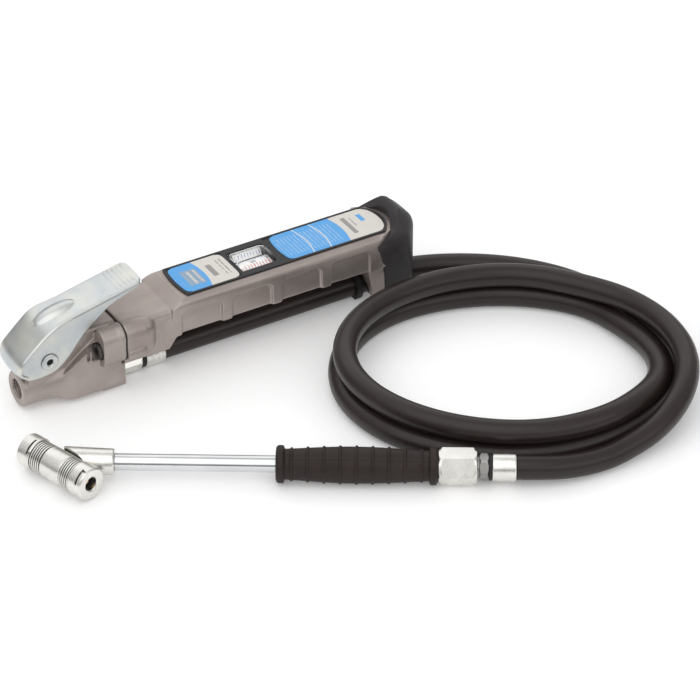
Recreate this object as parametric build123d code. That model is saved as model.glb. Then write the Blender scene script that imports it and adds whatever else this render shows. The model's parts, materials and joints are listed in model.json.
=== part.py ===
from build123d import *
import math
import os

# Hand-held airline tyre inflator: a die-cast valve head and handle with a pressure gauge,
# a length of air hose and a lance with a two-ended chuck. Millimetres, +Z up, floor at z = 0.
# The row's origin is on the floor, below the middle of the box round the inflator and lance.

# --- Driving dimensions -------------------------------------------------------------------
SHIFT_X = -120.3          # from the inlet's face to the row's origin
SHIFT_Y = 99.3            # from the inflator's middle plane to the row's origin
RUN = 0.05                # running clearance, radial

NOSE_Z = 13.0             # height of the inlet's axis
NOSE_R = 11.2
INLET_R = 5.72            # G 1/4 female thread, minor radius
INLET_DEPTH = 13.0
HEAD_LENGTH = 62.0
HEAD_HALF = 16.0
SPINE_HALF = 9.8          # part of the head between the lever's cheeks
GASKET = 0.8

PIVOT_X, PIVOT_Z = 17.3, 33.0
PIVOT_R = 4.0
LEVER_HALF = 11.7
SHEET = 1.6               # lever's sheet steel
LEVER_SLOPE = 0.212       # rise of the lever's straight arm

INFLATE_X, DEFLATE_X = 32.0, 45.0
STEM_R = 2.2
GUIDE_R = 5.5

HANDLE_HALF = 20.0
HANDLE_TOP = 51.0
HANDLE_LOW = 27.5
EDGE_R = 4.5              # rounding along the handle's top edges
BLOCK_END = 95.0          # where the handle steps up from the block behind the head
HANDLE_REAR = 236.0       # centre of the handle's rounded end

GAUGE_Z = 39.5
BORE_X0 = 103.0           # front end of the gauge's bore, behind the step in the casting
GAUGE_BORE = 10.2
WINDOW_X0, WINDOW_X1 = 148.0, 172.0
WINDOW_HALF = 11.0
FRAME_HALF = 16.0
FRAME_X0, FRAME_X1 = 107.5, 247.0
FRAME_T = 1.0

HOSE_R = 7.25
HOSE_BORE = 4.75
HOSE_Z = 8.5              # axis of the hose under the handle
OUTLET_END = 95.7         # rear end of the ferrule on the inflator

LANCE_Z = 11.2
LANCE_X, LANCE_Y = -9.1, -75.3   # inflator frame, where the lance's axis passes the chuck
LANCE_TURN = -32.3
CHUCK_TURN = -40.2        # chuck's axis from the lance's axis
CHUCK_OFFSET = -5.2
TUBE_R = 5.0
GRIP_X0, GRIP_X1 = 123.3, 215.8
LANCE_END = 260.5

COIL_X, COIL_Y = 142.7, -38.7    # row frame
COIL_TURN = -31.0


# --- Helpers ------------------------------------------------------------------------------
def along_x(radius, x0, x1, y=0.0, z=0.0):
    return Pos((x0 + x1) / 2, y, z) * Rot(0, 90, 0) * Cylinder(radius, x1 - x0)


def along_y(radius, y0, y1, x=0.0, z=0.0):
    return Pos(x, (y0 + y1) / 2, z) * Rot(90, 0, 0) * Cylinder(radius, y1 - y0)


def along_z(radius, z0, z1, x=0.0, y=0.0):
    return Pos(x, y, (z0 + z1) / 2) * Cylinder(radius, z1 - z0)


def block(x0, x1, y0, y1, z0, z1):
    return Pos((x0 + x1) / 2, (y0 + y1) / 2, (z0 + z1) / 2) * Box(x1 - x0, y1 - y0, z1 - z0)


def ring_x(outer, inner, x0, x1, y=0.0, z=0.0):
    return along_x(outer, x0, x1, y, z) - along_x(inner, x0 - 1, x1 + 1, y, z)


def ring_z(outer, inner, z0, z1, x=0.0, y=0.0):
    return along_z(outer, z0, z1, x, y) - along_z(inner, z0 - 1, z1 + 1, x, y)


def plate_xz(points, y0, y1):
    """A side outline in x and z, given thickness from y0 to y1."""
    face = make_face(Polyline(*points, close=True))
    return Pos(0, y1, 0) * extrude(Plane.XZ * face, amount=y1 - y0)


def plan_between(side_line, z0, z1):
    """A block whose plan runs between a line of (x, y) points and its mirror image."""
    mirror = [(x, -y) for x, y in reversed(side_line)]
    face = make_face(Polyline(*side_line, *mirror, close=True))
    return Pos(0, 0, z0) * extrude(face, z1 - z0)


def hex_x(flats, x0, x1, z=0.0, y=0.0):
    """A hexagon bar along x with one pair of flats upright and rounded-off end corners."""
    bar = extrude(RegularPolygon(radius=flats / 2, side_count=6, major_radius=False), x1 - x0)
    corner = flats / math.sqrt(3)
    cone = extrude(Circle(corner * 0.985), x1 - x0)
    cone = chamfer(cone.edges(), 1.0)
    return Pos(x0, y, z) * Rot(0, 90, 0) * (bar & cone)


def coil_spring(radius, wire, turns, length):
    """An open helical spring standing on z = 0."""
    rise = length - 2 * wire
    path = Helix(pitch=rise / turns, height=rise, radius=radius)
    section = Plane(origin=path @ 0, z_dir=path % 0) * Circle(wire)
    return Pos(0, 0, wire) * sweep(section, path=path, is_frenet=True)


def save(shape, name, place=None):
    moved = shape if place is None else place * shape
    export_step(moved, "parts/" + name + ".step")


INFLATOR = Pos(SHIFT_X, SHIFT_Y, 0)
LANCE = Pos(LANCE_X + SHIFT_X, LANCE_Y + SHIFT_Y, LANCE_Z) * Rot(0, 0, LANCE_TURN)
CHUCK = LANCE * Pos(0, CHUCK_OFFSET, 0) * Rot(0, 0, CHUCK_TURN)
os.makedirs("parts", exist_ok=True)


# --- Valve head ---------------------------------------------------------------------------
SCREW_Y, SCREW_Z = 15.8, 32.5
SCREW_END = 80.5
GALLERY_Z = 31.5          # passage from the head to the gauge
CAVITY_TOP = 34.0


def side_boss(x0, x1, side):
    """The rounded boss for a long screw, on one side of the head or handle."""
    slot = Plane.YZ * Pos(side * SCREW_Y, 34.4) * Rot(0, 0, 90) * SlotOverall(24.5, 14.6)
    return Pos(x0, 0, 0) * extrude(slot, x1 - x0)


def valve_body():
    spine = plate_xz(
        [(3.5, 14), (3.5, 33), (9, 41), (22, 45), (HEAD_LENGTH, 45), (HEAD_LENGTH, 14)],
        -SPINE_HALF,
        SPINE_HALF,
    )
    spine = fillet(spine.edges().filter_by(Axis.X).group_by(Axis.Z)[-1], 2)
    flank = plate_xz(
        [(22, 5), (24, 20.5), (39, 32.5), (47, 38), (HEAD_LENGTH, 43.5), (HEAD_LENGTH, 2.0), (33, 2.0)],
        -HEAD_HALF,
        HEAD_HALF,
    )
    flank = fillet(flank.edges().filter_by(Axis.X), 4.5)
    # Seen from above, the flanks widen from the nose to the rear face.
    side_line = [(10, 11.0), (22, 12.9), (31, 14.9), (40, HEAD_HALF), (70, HEAD_HALF)]
    flank = flank & plan_between(side_line, 0, 60)
    # The nose grows from a round tube into the square block.
    square = Plane.YZ.offset(27) * Pos(0, 14) * RectangleRounded(29, 21, 8)
    nose = along_x(NOSE_R, 0, 12, z=NOSE_Z)
    nose = chamfer(nose.edges().group_by(Axis.X)[0], 0.8)
    neck = loft([Plane.YZ.offset(12) * Pos(0, NOSE_Z) * Circle(NOSE_R), square])
    body = spine + flank + nose + neck
    for side in (-1, 1):
        body += side_boss(47.5, HEAD_LENGTH, side)
    body = body + block(50, 65.5, -13.5, 13.5, 1.2, 16.5)
    # Room for the lever's cheeks beside the spine when the lever is pressed.
    for side in (-1, 1):
        middle = side * (SPINE_HALF + 1.6)
        body -= block(40, 57.5, middle - 1.5, middle + 1.5, 41.2, 50)
    # Inlet thread, filter pocket and air passages.
    body -= along_x(INLET_R, -1, INLET_DEPTH, z=NOSE_Z)
    body -= Pos(0.4, 0, NOSE_Z) * Rot(0, 90, 0) * Cone(INLET_R + 1.2, INLET_R, 1.6)
    body -= along_x(4.2, INLET_DEPTH - 1, 24, z=NOSE_Z)
    body -= along_x(2.5, 20, INFLATE_X, z=NOSE_Z)
    body -= along_z(1.6, NOSE_Z, 20, x=INFLATE_X)
    body -= along_x(2.0, INFLATE_X, DEFLATE_X, z=25)
    body -= along_x(1.5, DEFLATE_X, 70, z=GALLERY_Z)
    body -= along_x(3.0, DEFLATE_X, 70, z=HOSE_Z)
    body -= along_z(1.6, HOSE_Z, 16, x=DEFLATE_X)
    body -= along_x(6.6, 53, 70, z=HOSE_Z)
    for x, floor in ((INFLATE_X, 18), (DEFLATE_X, 14.5)):
        body -= along_z(4.9, floor, 50, x=x)
        body -= along_z(GUIDE_R + 0.02, CAVITY_TOP, 50, x=x)
    for side in (-1, 1):
        body -= along_x(5.6, 40, 51.5, y=side * SCREW_Y, z=SCREW_Z)
        body -= along_x(3.2, 50, 70, y=side * SCREW_Y, z=SCREW_Z)
    body -= along_y(PIVOT_R + 0.02, -20, 20, x=PIVOT_X, z=PIVOT_Z)
    return body


save(valve_body(), "valve_body", INFLATOR)

cup = ring_x(4.15, 3.5, INLET_DEPTH + 0.2, 23, z=NOSE_Z) + along_x(4.15, 22, 23, z=NOSE_Z)
for turn in range(4):
    cup -= Pos(17.5, 0, NOSE_Z) * Rot(45 * turn, 0, 0) * Box(5, 1.4, 12)
save(cup, "inlet_filter", INFLATOR)


# --- Valves under the lever -----------------------------------------------------------------
def lever_underside(x):
    return 55.0 + (x - 25.1) * LEVER_SLOPE


def valve_set(x, floor, name):
    """Guide, stem, seal and spring of one push valve; the stem rises to the lever."""
    tip = lever_underside(x) - 0.35
    guide = along_z(GUIDE_R, CAVITY_TOP, 45.0, x=x) + along_z(6.2, 45.02, 47.6, x=x)
    guide = guide + along_z(GUIDE_R, 44.9, 46, x=x)
    guide = chamfer(guide.edges().group_by(Axis.Z)[-1], 0.5)
    for turn in range(3):
        guide -= Pos(x, 0, 46.9) * Rot(0, 0, 60 * turn) * Box(14, 0.8, 1.6)
    guide -= along_z(STEM_R + RUN, 20, 60, x=x)
    stem = along_z(STEM_R, 23.5, tip - 1.0, x=x)
    crown = Pos(x, 0, tip - 1.0) * (Sphere(STEM_R) & along_z(STEM_R, 0, 1.0))
    stem = stem + along_z(4.4, 29.8, 31.8, x=x) + crown
    seal = ring_z(4.3, STEM_R + 0.01, 31.82, CAVITY_TOP - 0.1, x=x)
    spring = Pos(x, 0, floor + 0.05) * coil_spring(3.5, 0.45, 5.5, 29.7 - floor)
    save(guide, name + "_valve_guide", INFLATOR)
    save(stem, name + "_valve_stem", INFLATOR)
    save(seal, name + "_valve_seal", INFLATOR)
    save(spring, name + "_valve_spring", INFLATOR)


valve_set(INFLATE_X, 18, "inflate")
valve_set(DEFLATE_X, 14.5, "deflate")


# --- Trigger lever --------------------------------------------------------------------------
def lever_outline(dx=0.0, dz=0.0):
    points = [
        (-0.8, 25.4), (4.5, 23.9), (10.3, 23.6), (17, 24.3), (23.4, 26.2), (30.5, 32.8), (37.4, 41),
        (44, 47.2), (51.1, 52.5), (56.6, 57.4), (68, 61.4), (80.6, 65.6), (81.4, 68.6), (79.6, 70.0),
        (25.1, 56.9), (20.5, 55.8), (15, 52.6), (9.5, 48), (3.5, 43), (-1.6, 39), (-4.6, 34.5), (-4.2, 29),
    ]
    return [(x + dx, z + dz) for x, z in points]


def trigger_lever():
    """A pressed channel: two cheeks on the rivet and a long thumb plate above them."""
    shell = plate_xz(lever_outline(), -LEVER_HALF, LEVER_HALF)
    shell = shell - plate_xz(lever_outline(SHEET * 0.8, -SHEET), SHEET - LEVER_HALF, LEVER_HALF - SHEET)
    # The thumb plate overhangs the cheeks a little.
    strip = [(25.1, 56.9), (79.6, 68.45), (79.9, 69.9), (79.2, 70.05), (25.1, 58.2), (20, 57.0), (14.3, 53.6),
             (8.6, 48.8), (2.6, 43.8), (3.5, 43), (9.5, 48), (15, 52.6), (20.5, 55.8)]
    shell = shell + plate_xz(strip, -LEVER_HALF - 0.9, LEVER_HALF + 0.9)
    for rib in range(4):
        x = 63.5 + 4 * rib
        z = 58.1 + (x - 25.1) * LEVER_SLOPE
        shell = shell + along_y(0.8, -10, 10, x=x, z=z + 0.1)
    dome = Pos(29, 0, 56.4) * Rot(0, -14, 0) * scale(Sphere(1), by=(14, 6.5, 4.6))
    above = [(18, 54.2), (25.1, 56.2), (60, 63.6), (60, 75), (10, 75), (10, 48.4)]
    shell = shell + (dome & plate_xz(above, -12, 12))
    for side in (-1, 1):
        y = side * (LEVER_HALF + SHEET / 2 - 0.4)
        shell = shell - along_y(PIVOT_R + RUN, y - 4, y + 4, x=PIVOT_X, z=PIVOT_Z)
    return shell


save(trigger_lever(), "trigger_lever", INFLATOR)

PIN_HALF = LEVER_HALF + 0.15
pin = along_y(PIVOT_R, -PIN_HALF, PIN_HALF, x=PIVOT_X, z=PIVOT_Z)
for side in (-1, 1):
    head = Pos(PIVOT_X, side * (PIN_HALF + 0.5), PIVOT_Z) * Rot(-90 * side, 0, 0) * Cone(5.2, 4.2, 1.0)
    pin = pin + head
pin -= along_y(2.0, -20, 20, x=PIVOT_X, z=PIVOT_Z)
save(pin, "trigger_rivet", INFLATOR)


# --- Gasket and long screws -------------------------------------------------------------------
JOINT_X0 = HEAD_LENGTH
JOINT_X1 = HEAD_LENGTH + GASKET
gasket = block(JOINT_X0, JOINT_X1, -15.4, 15.4, 20.0, 44)
for side in (-1, 1):
    gasket = gasket + side_boss(JOINT_X0, JOINT_X1, side)
    gasket -= along_x(3.2, 60, 70, y=side * SCREW_Y, z=SCREW_Z)
gasket -= along_x(1.5, 60, 70, z=GALLERY_Z)
save(gasket, "body_gasket", INFLATOR)

screws = []
for side in (-1, 1):
    screw = along_x(3.0, 51.4, SCREW_END, y=side * SCREW_Y, z=SCREW_Z)
    screw = screw + along_x(5.0, 45.8, 51.45, y=side * SCREW_Y, z=SCREW_Z)
    socket = Pos(45.7, side * SCREW_Y, SCREW_Z) * Rot(0, 90, 0)
    screw -= socket * extrude(RegularPolygon(radius=2.5, side_count=6, major_radius=False), 3)
    screws.append(screw)
save(Compound(children=[s.solid() for s in screws]), "body_screws", INFLATOR)


# --- Handle casting -----------------------------------------------------------------------------
POCKET_PITCH = 34.4
POCKET_FIRST = 115.0
POCKET_LENGTH = 27.5
POCKET_HEIGHT = 22.0
POCKET_TOP = 43.3
LEG_OUTLINE = [
    (231, 45), (231, 30), (237.5, 8), (240.5, 0.3), (247.5, 0.3), (246.5, 8), (244.5, 20), (241.5, 30),
    (241.5, 45),
]


def tail_section(inset=0.0):
    """The outline across the rear leg and buffer: wide at the top, narrow at the floor."""
    half = [(20, 44), (20, 36), (17.2, 22), (14.2, 9), (10.5, 0)]
    left = [(-(y - inset), z) for y, z in reversed(half)]
    right = [(y - inset, z) for y, z in half]
    return right + left


def handle_casting():
    # Block behind the head.
    side = [
        (JOINT_X1, 19.5), (JOINT_X1, 46.4), (BLOCK_END + 4, 46.4), (BLOCK_END + 4, 30),
        (BLOCK_END + 2, HANDLE_LOW), (BLOCK_END - 3, 19.5),
    ]
    low = plate_xz(side, -18.6, 18.6)
    low = fillet(low.edges().filter_by(Axis.X).group_by(Axis.Z)[-1], 2.5)
    # Long body with a rounded end, seen from above.
    plan = Pos((BLOCK_END + HANDLE_REAR) / 2, 0) * Rectangle(HANDLE_REAR - BLOCK_END, 2 * HANDLE_HALF)
    plan = plan + Pos(HANDLE_REAR, 0) * Circle(HANDLE_HALF)
    body = Pos(0, 0, HANDLE_LOW) * extrude(plan, HANDLE_TOP - HANDLE_LOW)
    for side in (-1, 1):
        corner = block(80, 241, -EDGE_R, EDGE_R, HANDLE_TOP - EDGE_R, HANDLE_TOP + 1)
        corner = Pos(0, side * HANDLE_HALF, 0) * corner
        body -= corner - along_x(EDGE_R, 70, 250, y=side * (HANDLE_HALF - EDGE_R), z=HANDLE_TOP - EDGE_R)
    ramp_end = BLOCK_END + 9
    ramp = [(BLOCK_END - 1, 46.0), (ramp_end, HANDLE_TOP + 0.1), (ramp_end, 60), (BLOCK_END - 1, 60)]
    body -= plate_xz(ramp, -30, 30)
    web_side = [(BLOCK_END - 3, 19.5), (BLOCK_END + 3, HANDLE_LOW), (BLOCK_END + 3, 40), (BLOCK_END - 3, 40)]
    web = plate_xz(web_side, -HANDLE_HALF + 0.4, HANDLE_HALF - 0.4)
    leg = plate_xz(LEG_OUTLINE, -HANDLE_HALF, HANDLE_HALF)
    section = make_face(Polyline(*tail_section(), close=True))
    leg = leg & (Pos(220, 0, 0) * extrude(Plane.YZ * section, 40))
    body = body + low + web + leg
    for side in (-1, 1):
        boss = side_boss(JOINT_X1, 83.5, side)
        body = body + fillet(boss.edges().group_by(Axis.X)[-1], 6.0)
    # Finger pockets along both sides, open at the handle's underside.
    for index in range(4):
        x = POCKET_FIRST + index * POCKET_PITCH
        for side in (-1, 1):
            pocket = extrude(RectangleRounded(POCKET_LENGTH, POCKET_HEIGHT, 4.2), 3.2)
            pocket = fillet(pocket.edges().group_by(Axis.Z)[-1], 1.0)
            middle = POCKET_TOP - POCKET_HEIGHT / 2
            seat = Pos(x, side * (HANDLE_HALF + 1.4), middle) * Rot(90 * side, 0, 0)
            body -= seat * pocket
    # Gauge bore, window, passages and screw holes.
    body -= along_x(GAUGE_BORE, BORE_X0, 260, z=GAUGE_Z)
    body -= along_x(1.5, 60, BORE_X0 + 2, z=GALLERY_Z)
    body -= block(WINDOW_X0 - 2, WINDOW_X1 + 2, -12.5, 12.5, GAUGE_Z + 6, 60)
    body -= along_x(HOSE_R + 0.5, 225, 250, z=HOSE_Z)
    for side in (-1, 1):
        body -= along_x(3.02, 60, SCREW_END + 0.5, y=side * SCREW_Y, z=SCREW_Z)
    return body


HANDLE = handle_casting()
save(HANDLE, "handle_casting", INFLATOR)


# --- Rubber buffer round the rear end ---------------------------------------------------------
def rear_buffer():
    outline = [
        (237.5, 44.5), (241, 47.2), (245.5, 48.6), (250, 51.4), (257, 57.2), (262, 59.4), (266, 59.2),
        (269.5, 56), (270.8, 50), (270.2, 40), (270.3, 28), (271.4, 12), (271.6, 0), (247.5, 0), (244, 20),
        (241.6, 30),
    ]
    half = HANDLE_HALF + 0.3
    cap = plate_xz(outline, -half, half)
    top_rear = [e for e in cap.edges().filter_by(Axis.Y) if e.center().X > 255 and e.center().Z > 40]
    cap = fillet(top_rear, 1.2)
    section = make_face(Polyline(*tail_section(-0.3), close=True))
    across = Pos(225, 0, 0) * extrude(Plane.YZ * section, 60)
    upper = block(225, 285, -half, half, 44, 62)
    plan = Pos(240, 0) * Rectangle(22, 2 * half) + Pos(251.0, 0) * Circle(half)
    cap = cap & (across + upper) & extrude(plan, 70)
    # The cap's lip stops round the handle's flat top.
    end = Pos(HANDLE_REAR, 0) * Circle(HANDLE_HALF)
    end = end + Pos(HANDLE_REAR - 20, 0) * Rectangle(40, 2 * HANDLE_HALF)
    cap -= Pos(0, 0, 47.2) * extrude(end, 30)
    cap -= HANDLE
    cap -= along_x(GAUGE_BORE, 200, 257, z=GAUGE_Z)
    # The hose's way out is wider towards the lance, where the hose bends.
    way_out = Plane.YZ * Pos(-2, HOSE_Z) * SlotOverall(2 * HOSE_R + 5, 2 * HOSE_R + 1)
    cap -= Pos(240, 0, 0) * extrude(way_out, 50)
    return max(cap.solids(), key=lambda s: s.volume)


save(rear_buffer(), "rear_buffer", INFLATOR)

bush = ring_x(9.6, HOSE_R + 0.1, 229.6, 233.2, z=HOSE_Z) & block(220, 240, -12, 12, 0.4, 30)
save(bush, "hose_bush", INFLATOR)


# --- Label frame, labels and lens ----------------------------------------------------------------
def frame_plan(inset=0.0):
    """Rounded-end strip seen from above; the front edge bows forwards."""
    half = FRAME_HALF - inset
    x0 = FRAME_X0 + inset
    x1 = FRAME_X1 - inset
    bow = ThreePointArc((x0, half), (x0 - 1.8, 0), (x0, -half))
    near = Line((x0, -half), (x1 - 2, -half))
    end = ThreePointArc((x1 - 2, -half), (x1 + 5.0, 0), (x1 - 2, half))
    far = Line((x1 - 2, half), (x0, half))
    return make_face([bow, near, end, far])


frame = Pos(0, 0, HANDLE_TOP) * extrude(frame_plan(), FRAME_T)
bed = Pos(0, 0, HANDLE_TOP + 0.5) * extrude(frame_plan(1.5), 2)
window = block(WINDOW_X0, WINDOW_X1, -WINDOW_HALF, WINDOW_HALF, 40, 60)
bridge = block(WINDOW_X0 - 2.6, WINDOW_X1 + 3.2, -20, 20, 40, 60)
frame = frame - (bed - bridge) - window
save(frame, "label_frame", INFLATOR)


def label(x0, x1):
    strip = Pos(0, 0, HANDLE_TOP + 0.5) * extrude(frame_plan(1.6), 0.35)
    return strip & block(x0, x1, -20, 20, 40, 60)


save(label(90, WINDOW_X0 - 2.7), "front_label", INFLATOR)
save(label(WINDOW_X1 + 3.3, 260), "rear_label", INFLATOR)

LENS_R = 17.0
LENS_TOP = 55.4
lens = along_x(LENS_R, WINDOW_X0 + 0.2, WINDOW_X1 - 0.2, z=LENS_TOP - LENS_R)
lens = lens & block(140, 180, -WINDOW_HALF + 0.2, WINDOW_HALF - 0.2, 50.2, 60)
lens = lens + block(WINDOW_X0 - 1.8, WINDOW_X1 + 1.8, -12.3, 12.3, 49.9, HANDLE_TOP - 0.05)
save(lens, "gauge_lens", INFLATOR)
seat = block(WINDOW_X0 - 1.8, WINDOW_X1 + 1.8, -12.3, 12.3, 49.3, 49.85)
seat -= block(WINDOW_X0 + 0.5, WINDOW_X1 - 0.5, -10.6, 10.6, 40, 60)
save(seat, "lens_gasket", INFLATOR)


# --- Gauge cartridge -------------------------------------------------------------------------------
CYLINDER_R, CYLINDER_BORE = 7.6, 6.8
CYLINDER_X0, CYLINDER_X1 = 106.0, 173.0
BARREL_R = 9.2
ROD_R = 1.9
PISTON_X = 112.0

cylinder = ring_x(CYLINDER_R, CYLINDER_BORE, CYLINDER_X0, CYLINDER_X1, z=GAUGE_Z)
flange = ring_x(GAUGE_BORE - 0.02, 4.0, CYLINDER_X0 - 2.4, CYLINDER_X0 + 2.4, z=GAUGE_Z)
flange -= ring_x(11, 9.0, CYLINDER_X0 - 0.9, CYLINDER_X0 + 0.9, z=GAUGE_Z)
save(cylinder + flange, "gauge_cylinder", INFLATOR)
o_ring = Pos(CYLINDER_X0, 0, GAUGE_Z) * Rot(0, 90, 0) * Torus(9.55, 0.55)
save(o_ring, "gauge_o_ring", INFLATOR)

piston = along_x(CYLINDER_BORE - RUN, PISTON_X, PISTON_X + 6, z=GAUGE_Z)
piston -= ring_x(8, 5.2, PISTON_X + 2, PISTON_X + 4, z=GAUGE_Z)
piston = piston + along_x(ROD_R, PISTON_X + 5, 184, z=GAUGE_Z)
save(piston, "gauge_piston", INFLATOR)
piston_seal = ring_x(CYLINDER_BORE - 0.02, 5.25, PISTON_X + 2.1, PISTON_X + 3.9, z=GAUGE_Z)
save(piston_seal, "gauge_piston_seal", INFLATOR)

GUIDE_BORE = ROD_R + RUN
rod_guide = ring_x(CYLINDER_BORE - 0.02, GUIDE_BORE, CYLINDER_X1 - 4, CYLINDER_X1 + 0.1, z=GAUGE_Z)
rod_guide = rod_guide + ring_x(CYLINDER_R, GUIDE_BORE, CYLINDER_X1 + 0.02, CYLINDER_X1 + 1.2, z=GAUGE_Z)
save(rod_guide, "gauge_rod_guide", INFLATOR)

spring_length = CYLINDER_X1 - 4.2 - (PISTON_X + 6.1)
gauge_spring = Pos(PISTON_X + 6.1, 0, GAUGE_Z) * Rot(0, 90, 0) * coil_spring(5.2, 0.6, 12, spring_length)
save(gauge_spring, "gauge_spring", INFLATOR)

barrel = ring_x(BARREL_R, BARREL_R - 0.9, 115, 181, z=GAUGE_Z)
barrel = barrel + ring_x(BARREL_R, ROD_R + 0.02, 178.5, 181, z=GAUGE_Z)
save(barrel, "gauge_scale_barrel", INFLATOR)
nut = hex_x(5.5, 181.05, 183.6, z=GAUGE_Z) - along_x(ROD_R + 0.02, 180, 185, z=GAUGE_Z)
save(nut, "gauge_rod_nut", INFLATOR)

end_plug = along_x(GAUGE_BORE - 0.02, 238, 246, z=GAUGE_Z) - along_x(6, 241, 248, z=GAUGE_Z)
save(end_plug, "gauge_end_plug", INFLATOR)


# --- Outlet fitting and ferrule under the handle ----------------------------------------------------
FERRULE_R = 8.5
adaptor = along_x(6.55, 54, 66.1, z=HOSE_Z) + hex_x(15.6, 66, 80, z=HOSE_Z) + along_x(5.2, 79.8, 84.8, z=HOSE_Z)
adaptor -= along_x(2.8, 50, 90, z=HOSE_Z)
save(adaptor, "outlet_adaptor", INFLATOR)
save(ring_x(7.9, 5.25, 80.2, 82.7, z=HOSE_Z), "outlet_washer", INFLATOR)


def ferrule(x0, x1, outer):
    shell = ring_x(outer, HOSE_R + 0.02, x0, x1) + ring_x(outer, HOSE_BORE + 0.6, x0, x0 + 1.2)
    grooves = [x0 + (x1 - x0) * part for part in (0.4, 0.68)]
    for x in grooves:
        shell -= ring_x(outer + 1, outer - 0.25, x, x + 1.0)
    return shell


LOW_AXIS = Pos(0, 0, HOSE_Z)
save(LOW_AXIS * ferrule(82.8, OUTLET_END, FERRULE_R), "outlet_ferrule", INFLATOR)
tail = ring_x(HOSE_BORE, 2.8, 84.9, 109, z=HOSE_Z)
save(tail, "outlet_hose_tail", INFLATOR)


# --- Lance --------------------------------------------------------------------------------------------
save(ring_x(TUBE_R, 3.6, 24, 214), "lance_tube", LANCE)


def grip_radius(x):
    """Barrel-shaped rubber grip: slim behind the front flange, fullest past the middle."""
    part = (x - GRIP_X0) / (GRIP_X1 - GRIP_X0)
    return 8.7 + 1.9 * math.sin(math.pi * min(1.0, part / 0.98)) ** 1.4


def lance_grip():
    steps = 8
    xs = [GRIP_X0 + 2 + (GRIP_X1 - GRIP_X0 - 4) * i / steps for i in range(steps + 1)]
    curve = Spline(*[(x, grip_radius(x)) for x in xs])
    outline = [
        Line((xs[0], TUBE_R + 0.05), curve @ 0),
        curve,
        Line(curve @ 1, (xs[-1], TUBE_R + 0.05)),
        Line((xs[-1], TUBE_R + 0.05), (xs[0], TUBE_R + 0.05)),
    ]
    grip = revolve(make_face(outline), Axis.X)
    for x0, x1 in ((GRIP_X0, GRIP_X0 + 4.6), (GRIP_X1 - 4.6, GRIP_X1)):
        end = fillet(along_x(10.9, x0, x1).edges(), 1.6)
        grip = grip + (end - along_x(TUBE_R + 0.05, x0 - 1, x1 + 1))
    for index in range(9):
        x = GRIP_X0 + 9.6 + index * 9.0
        rib = Pos(x, 0, 0) * Rot(0, 90, 0) * Torus(grip_radius(x) - 0.15, 0.75)
        grip = grip + rib
    return grip


save(lance_grip(), "lance_grip", LANCE)

coupler = hex_x(19.0, GRIP_X1 + 0.1, 238.2) - along_x(TUBE_R + 0.02, 214, 226) - along_x(4.1, 220, 240)
coupler -= along_x(6.6, 228, 240)
save(coupler, "lance_coupler", LANCE)
lance_tail = along_x(6.55, 229, 239.7) + hex_x(14.0, 239.6, 244.7) + along_x(5.2, 244.5, 248.6)
lance_tail = lance_tail + along_x(HOSE_BORE, 248, 259) - along_x(2.8, 220, 270)
save(lance_tail, "lance_hose_tail", LANCE)
save(ring_x(7.9, 5.25, 244.8, 246.7), "lance_washer", LANCE)
lance_ferrule = ring_x(8.25, HOSE_R + 0.02, 246.8, LANCE_END) + ring_x(8.25, 5.3, 246.8, 248.4)
save(lance_ferrule, "lance_ferrule", LANCE)


# --- Two-ended chuck ------------------------------------------------------------------------------------
CHUCK_R = 9.6
CHUCK_HALF = 25.8
CHUCK_NECK = 8.4          # barrel under the sleeves
NUT_START = 15.9
NUT_R = 10.1
SEAT_X = 22.0             # end of the barrel, inside each sleeve
VALVE_R = 4.2             # clears the neck of a tyre valve


def chuck_body():
    body = along_x(CHUCK_R, -8.6, 8.6)
    body = body + along_x(CHUCK_NECK, -SEAT_X, SEAT_X)
    for side in (-1, 1):
        for index in range(5):
            x = side * (9.7 + 1.35 * index)
            body = body + (Pos(x, 0, 0) * Rot(0, 90, 0) * Torus(CHUCK_NECK, 0.5))
    # Round boss that takes the lance's tube, leaning across the barrel.
    boss = Rot(0, 0, -CHUCK_TURN) * Pos(0, -CHUCK_OFFSET, 0) * Rot(0, 90, 0)
    body = body + boss * Pos(0, 0, 16) * Cone(8.6, 7.5, 30)
    body -= boss * Pos(0, 0, 28.5) * Cylinder(TUBE_R + 0.02, 13)
    body -= boss * Pos(0, 0, 12) * Cylinder(2.8, 24)
    for side in (-1, 1):
        body -= Pos(side * 16, 0, 0) * Rot(0, 90, 0) * Cylinder(5.0, 18)
        body -= Pos(side * 20.4, 0, 0) * Rot(0, 90, 0) * Cylinder(6.2, 12)
    body -= along_x(2.8, -12, 12)
    return body


save(chuck_body(), "chuck_body", CHUCK)


def chuck_nut():
    """Slotted sleeve that holds the seal at one end of the chuck, along +x."""
    nut = chamfer(along_x(NUT_R, NUT_START, CHUCK_HALF).edges(), 0.7)
    nut -= along_x(CHUCK_NECK + 0.02, NUT_START - 1, SEAT_X + 0.05)
    nut -= along_x(VALVE_R, 18, 30)
    for turn in range(6):
        slot = Box(7, 1.3, 1.6) + Pos(-2.9, 0, 0) * Box(1.3, 4.0, 1.6)
        nut -= Rot(60 * turn + 30, 0, 0) * Pos(22.4, 0, NUT_R) * slot
    return nut


def both_ends(piece):
    return Compound(children=[piece.solid(), (Rot(0, 0, 180) * piece).solid()])


save(both_ends(chuck_nut()), "chuck_nuts", CHUCK)
save(both_ends(ring_x(6.1, 3.4, 17.9, 21.9)), "chuck_seals", CHUCK)


def depressor():
    pin = along_x(1.3, 11.2, 21.8) + along_x(2.6, 15.2, 16.4)
    for turn in range(2):
        pin = pin + Pos(13.2, 0, 0) * Rot(90 * turn + 45, 0, 0) * Box(4.0, 1.0, 9.4)
    return pin


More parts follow.
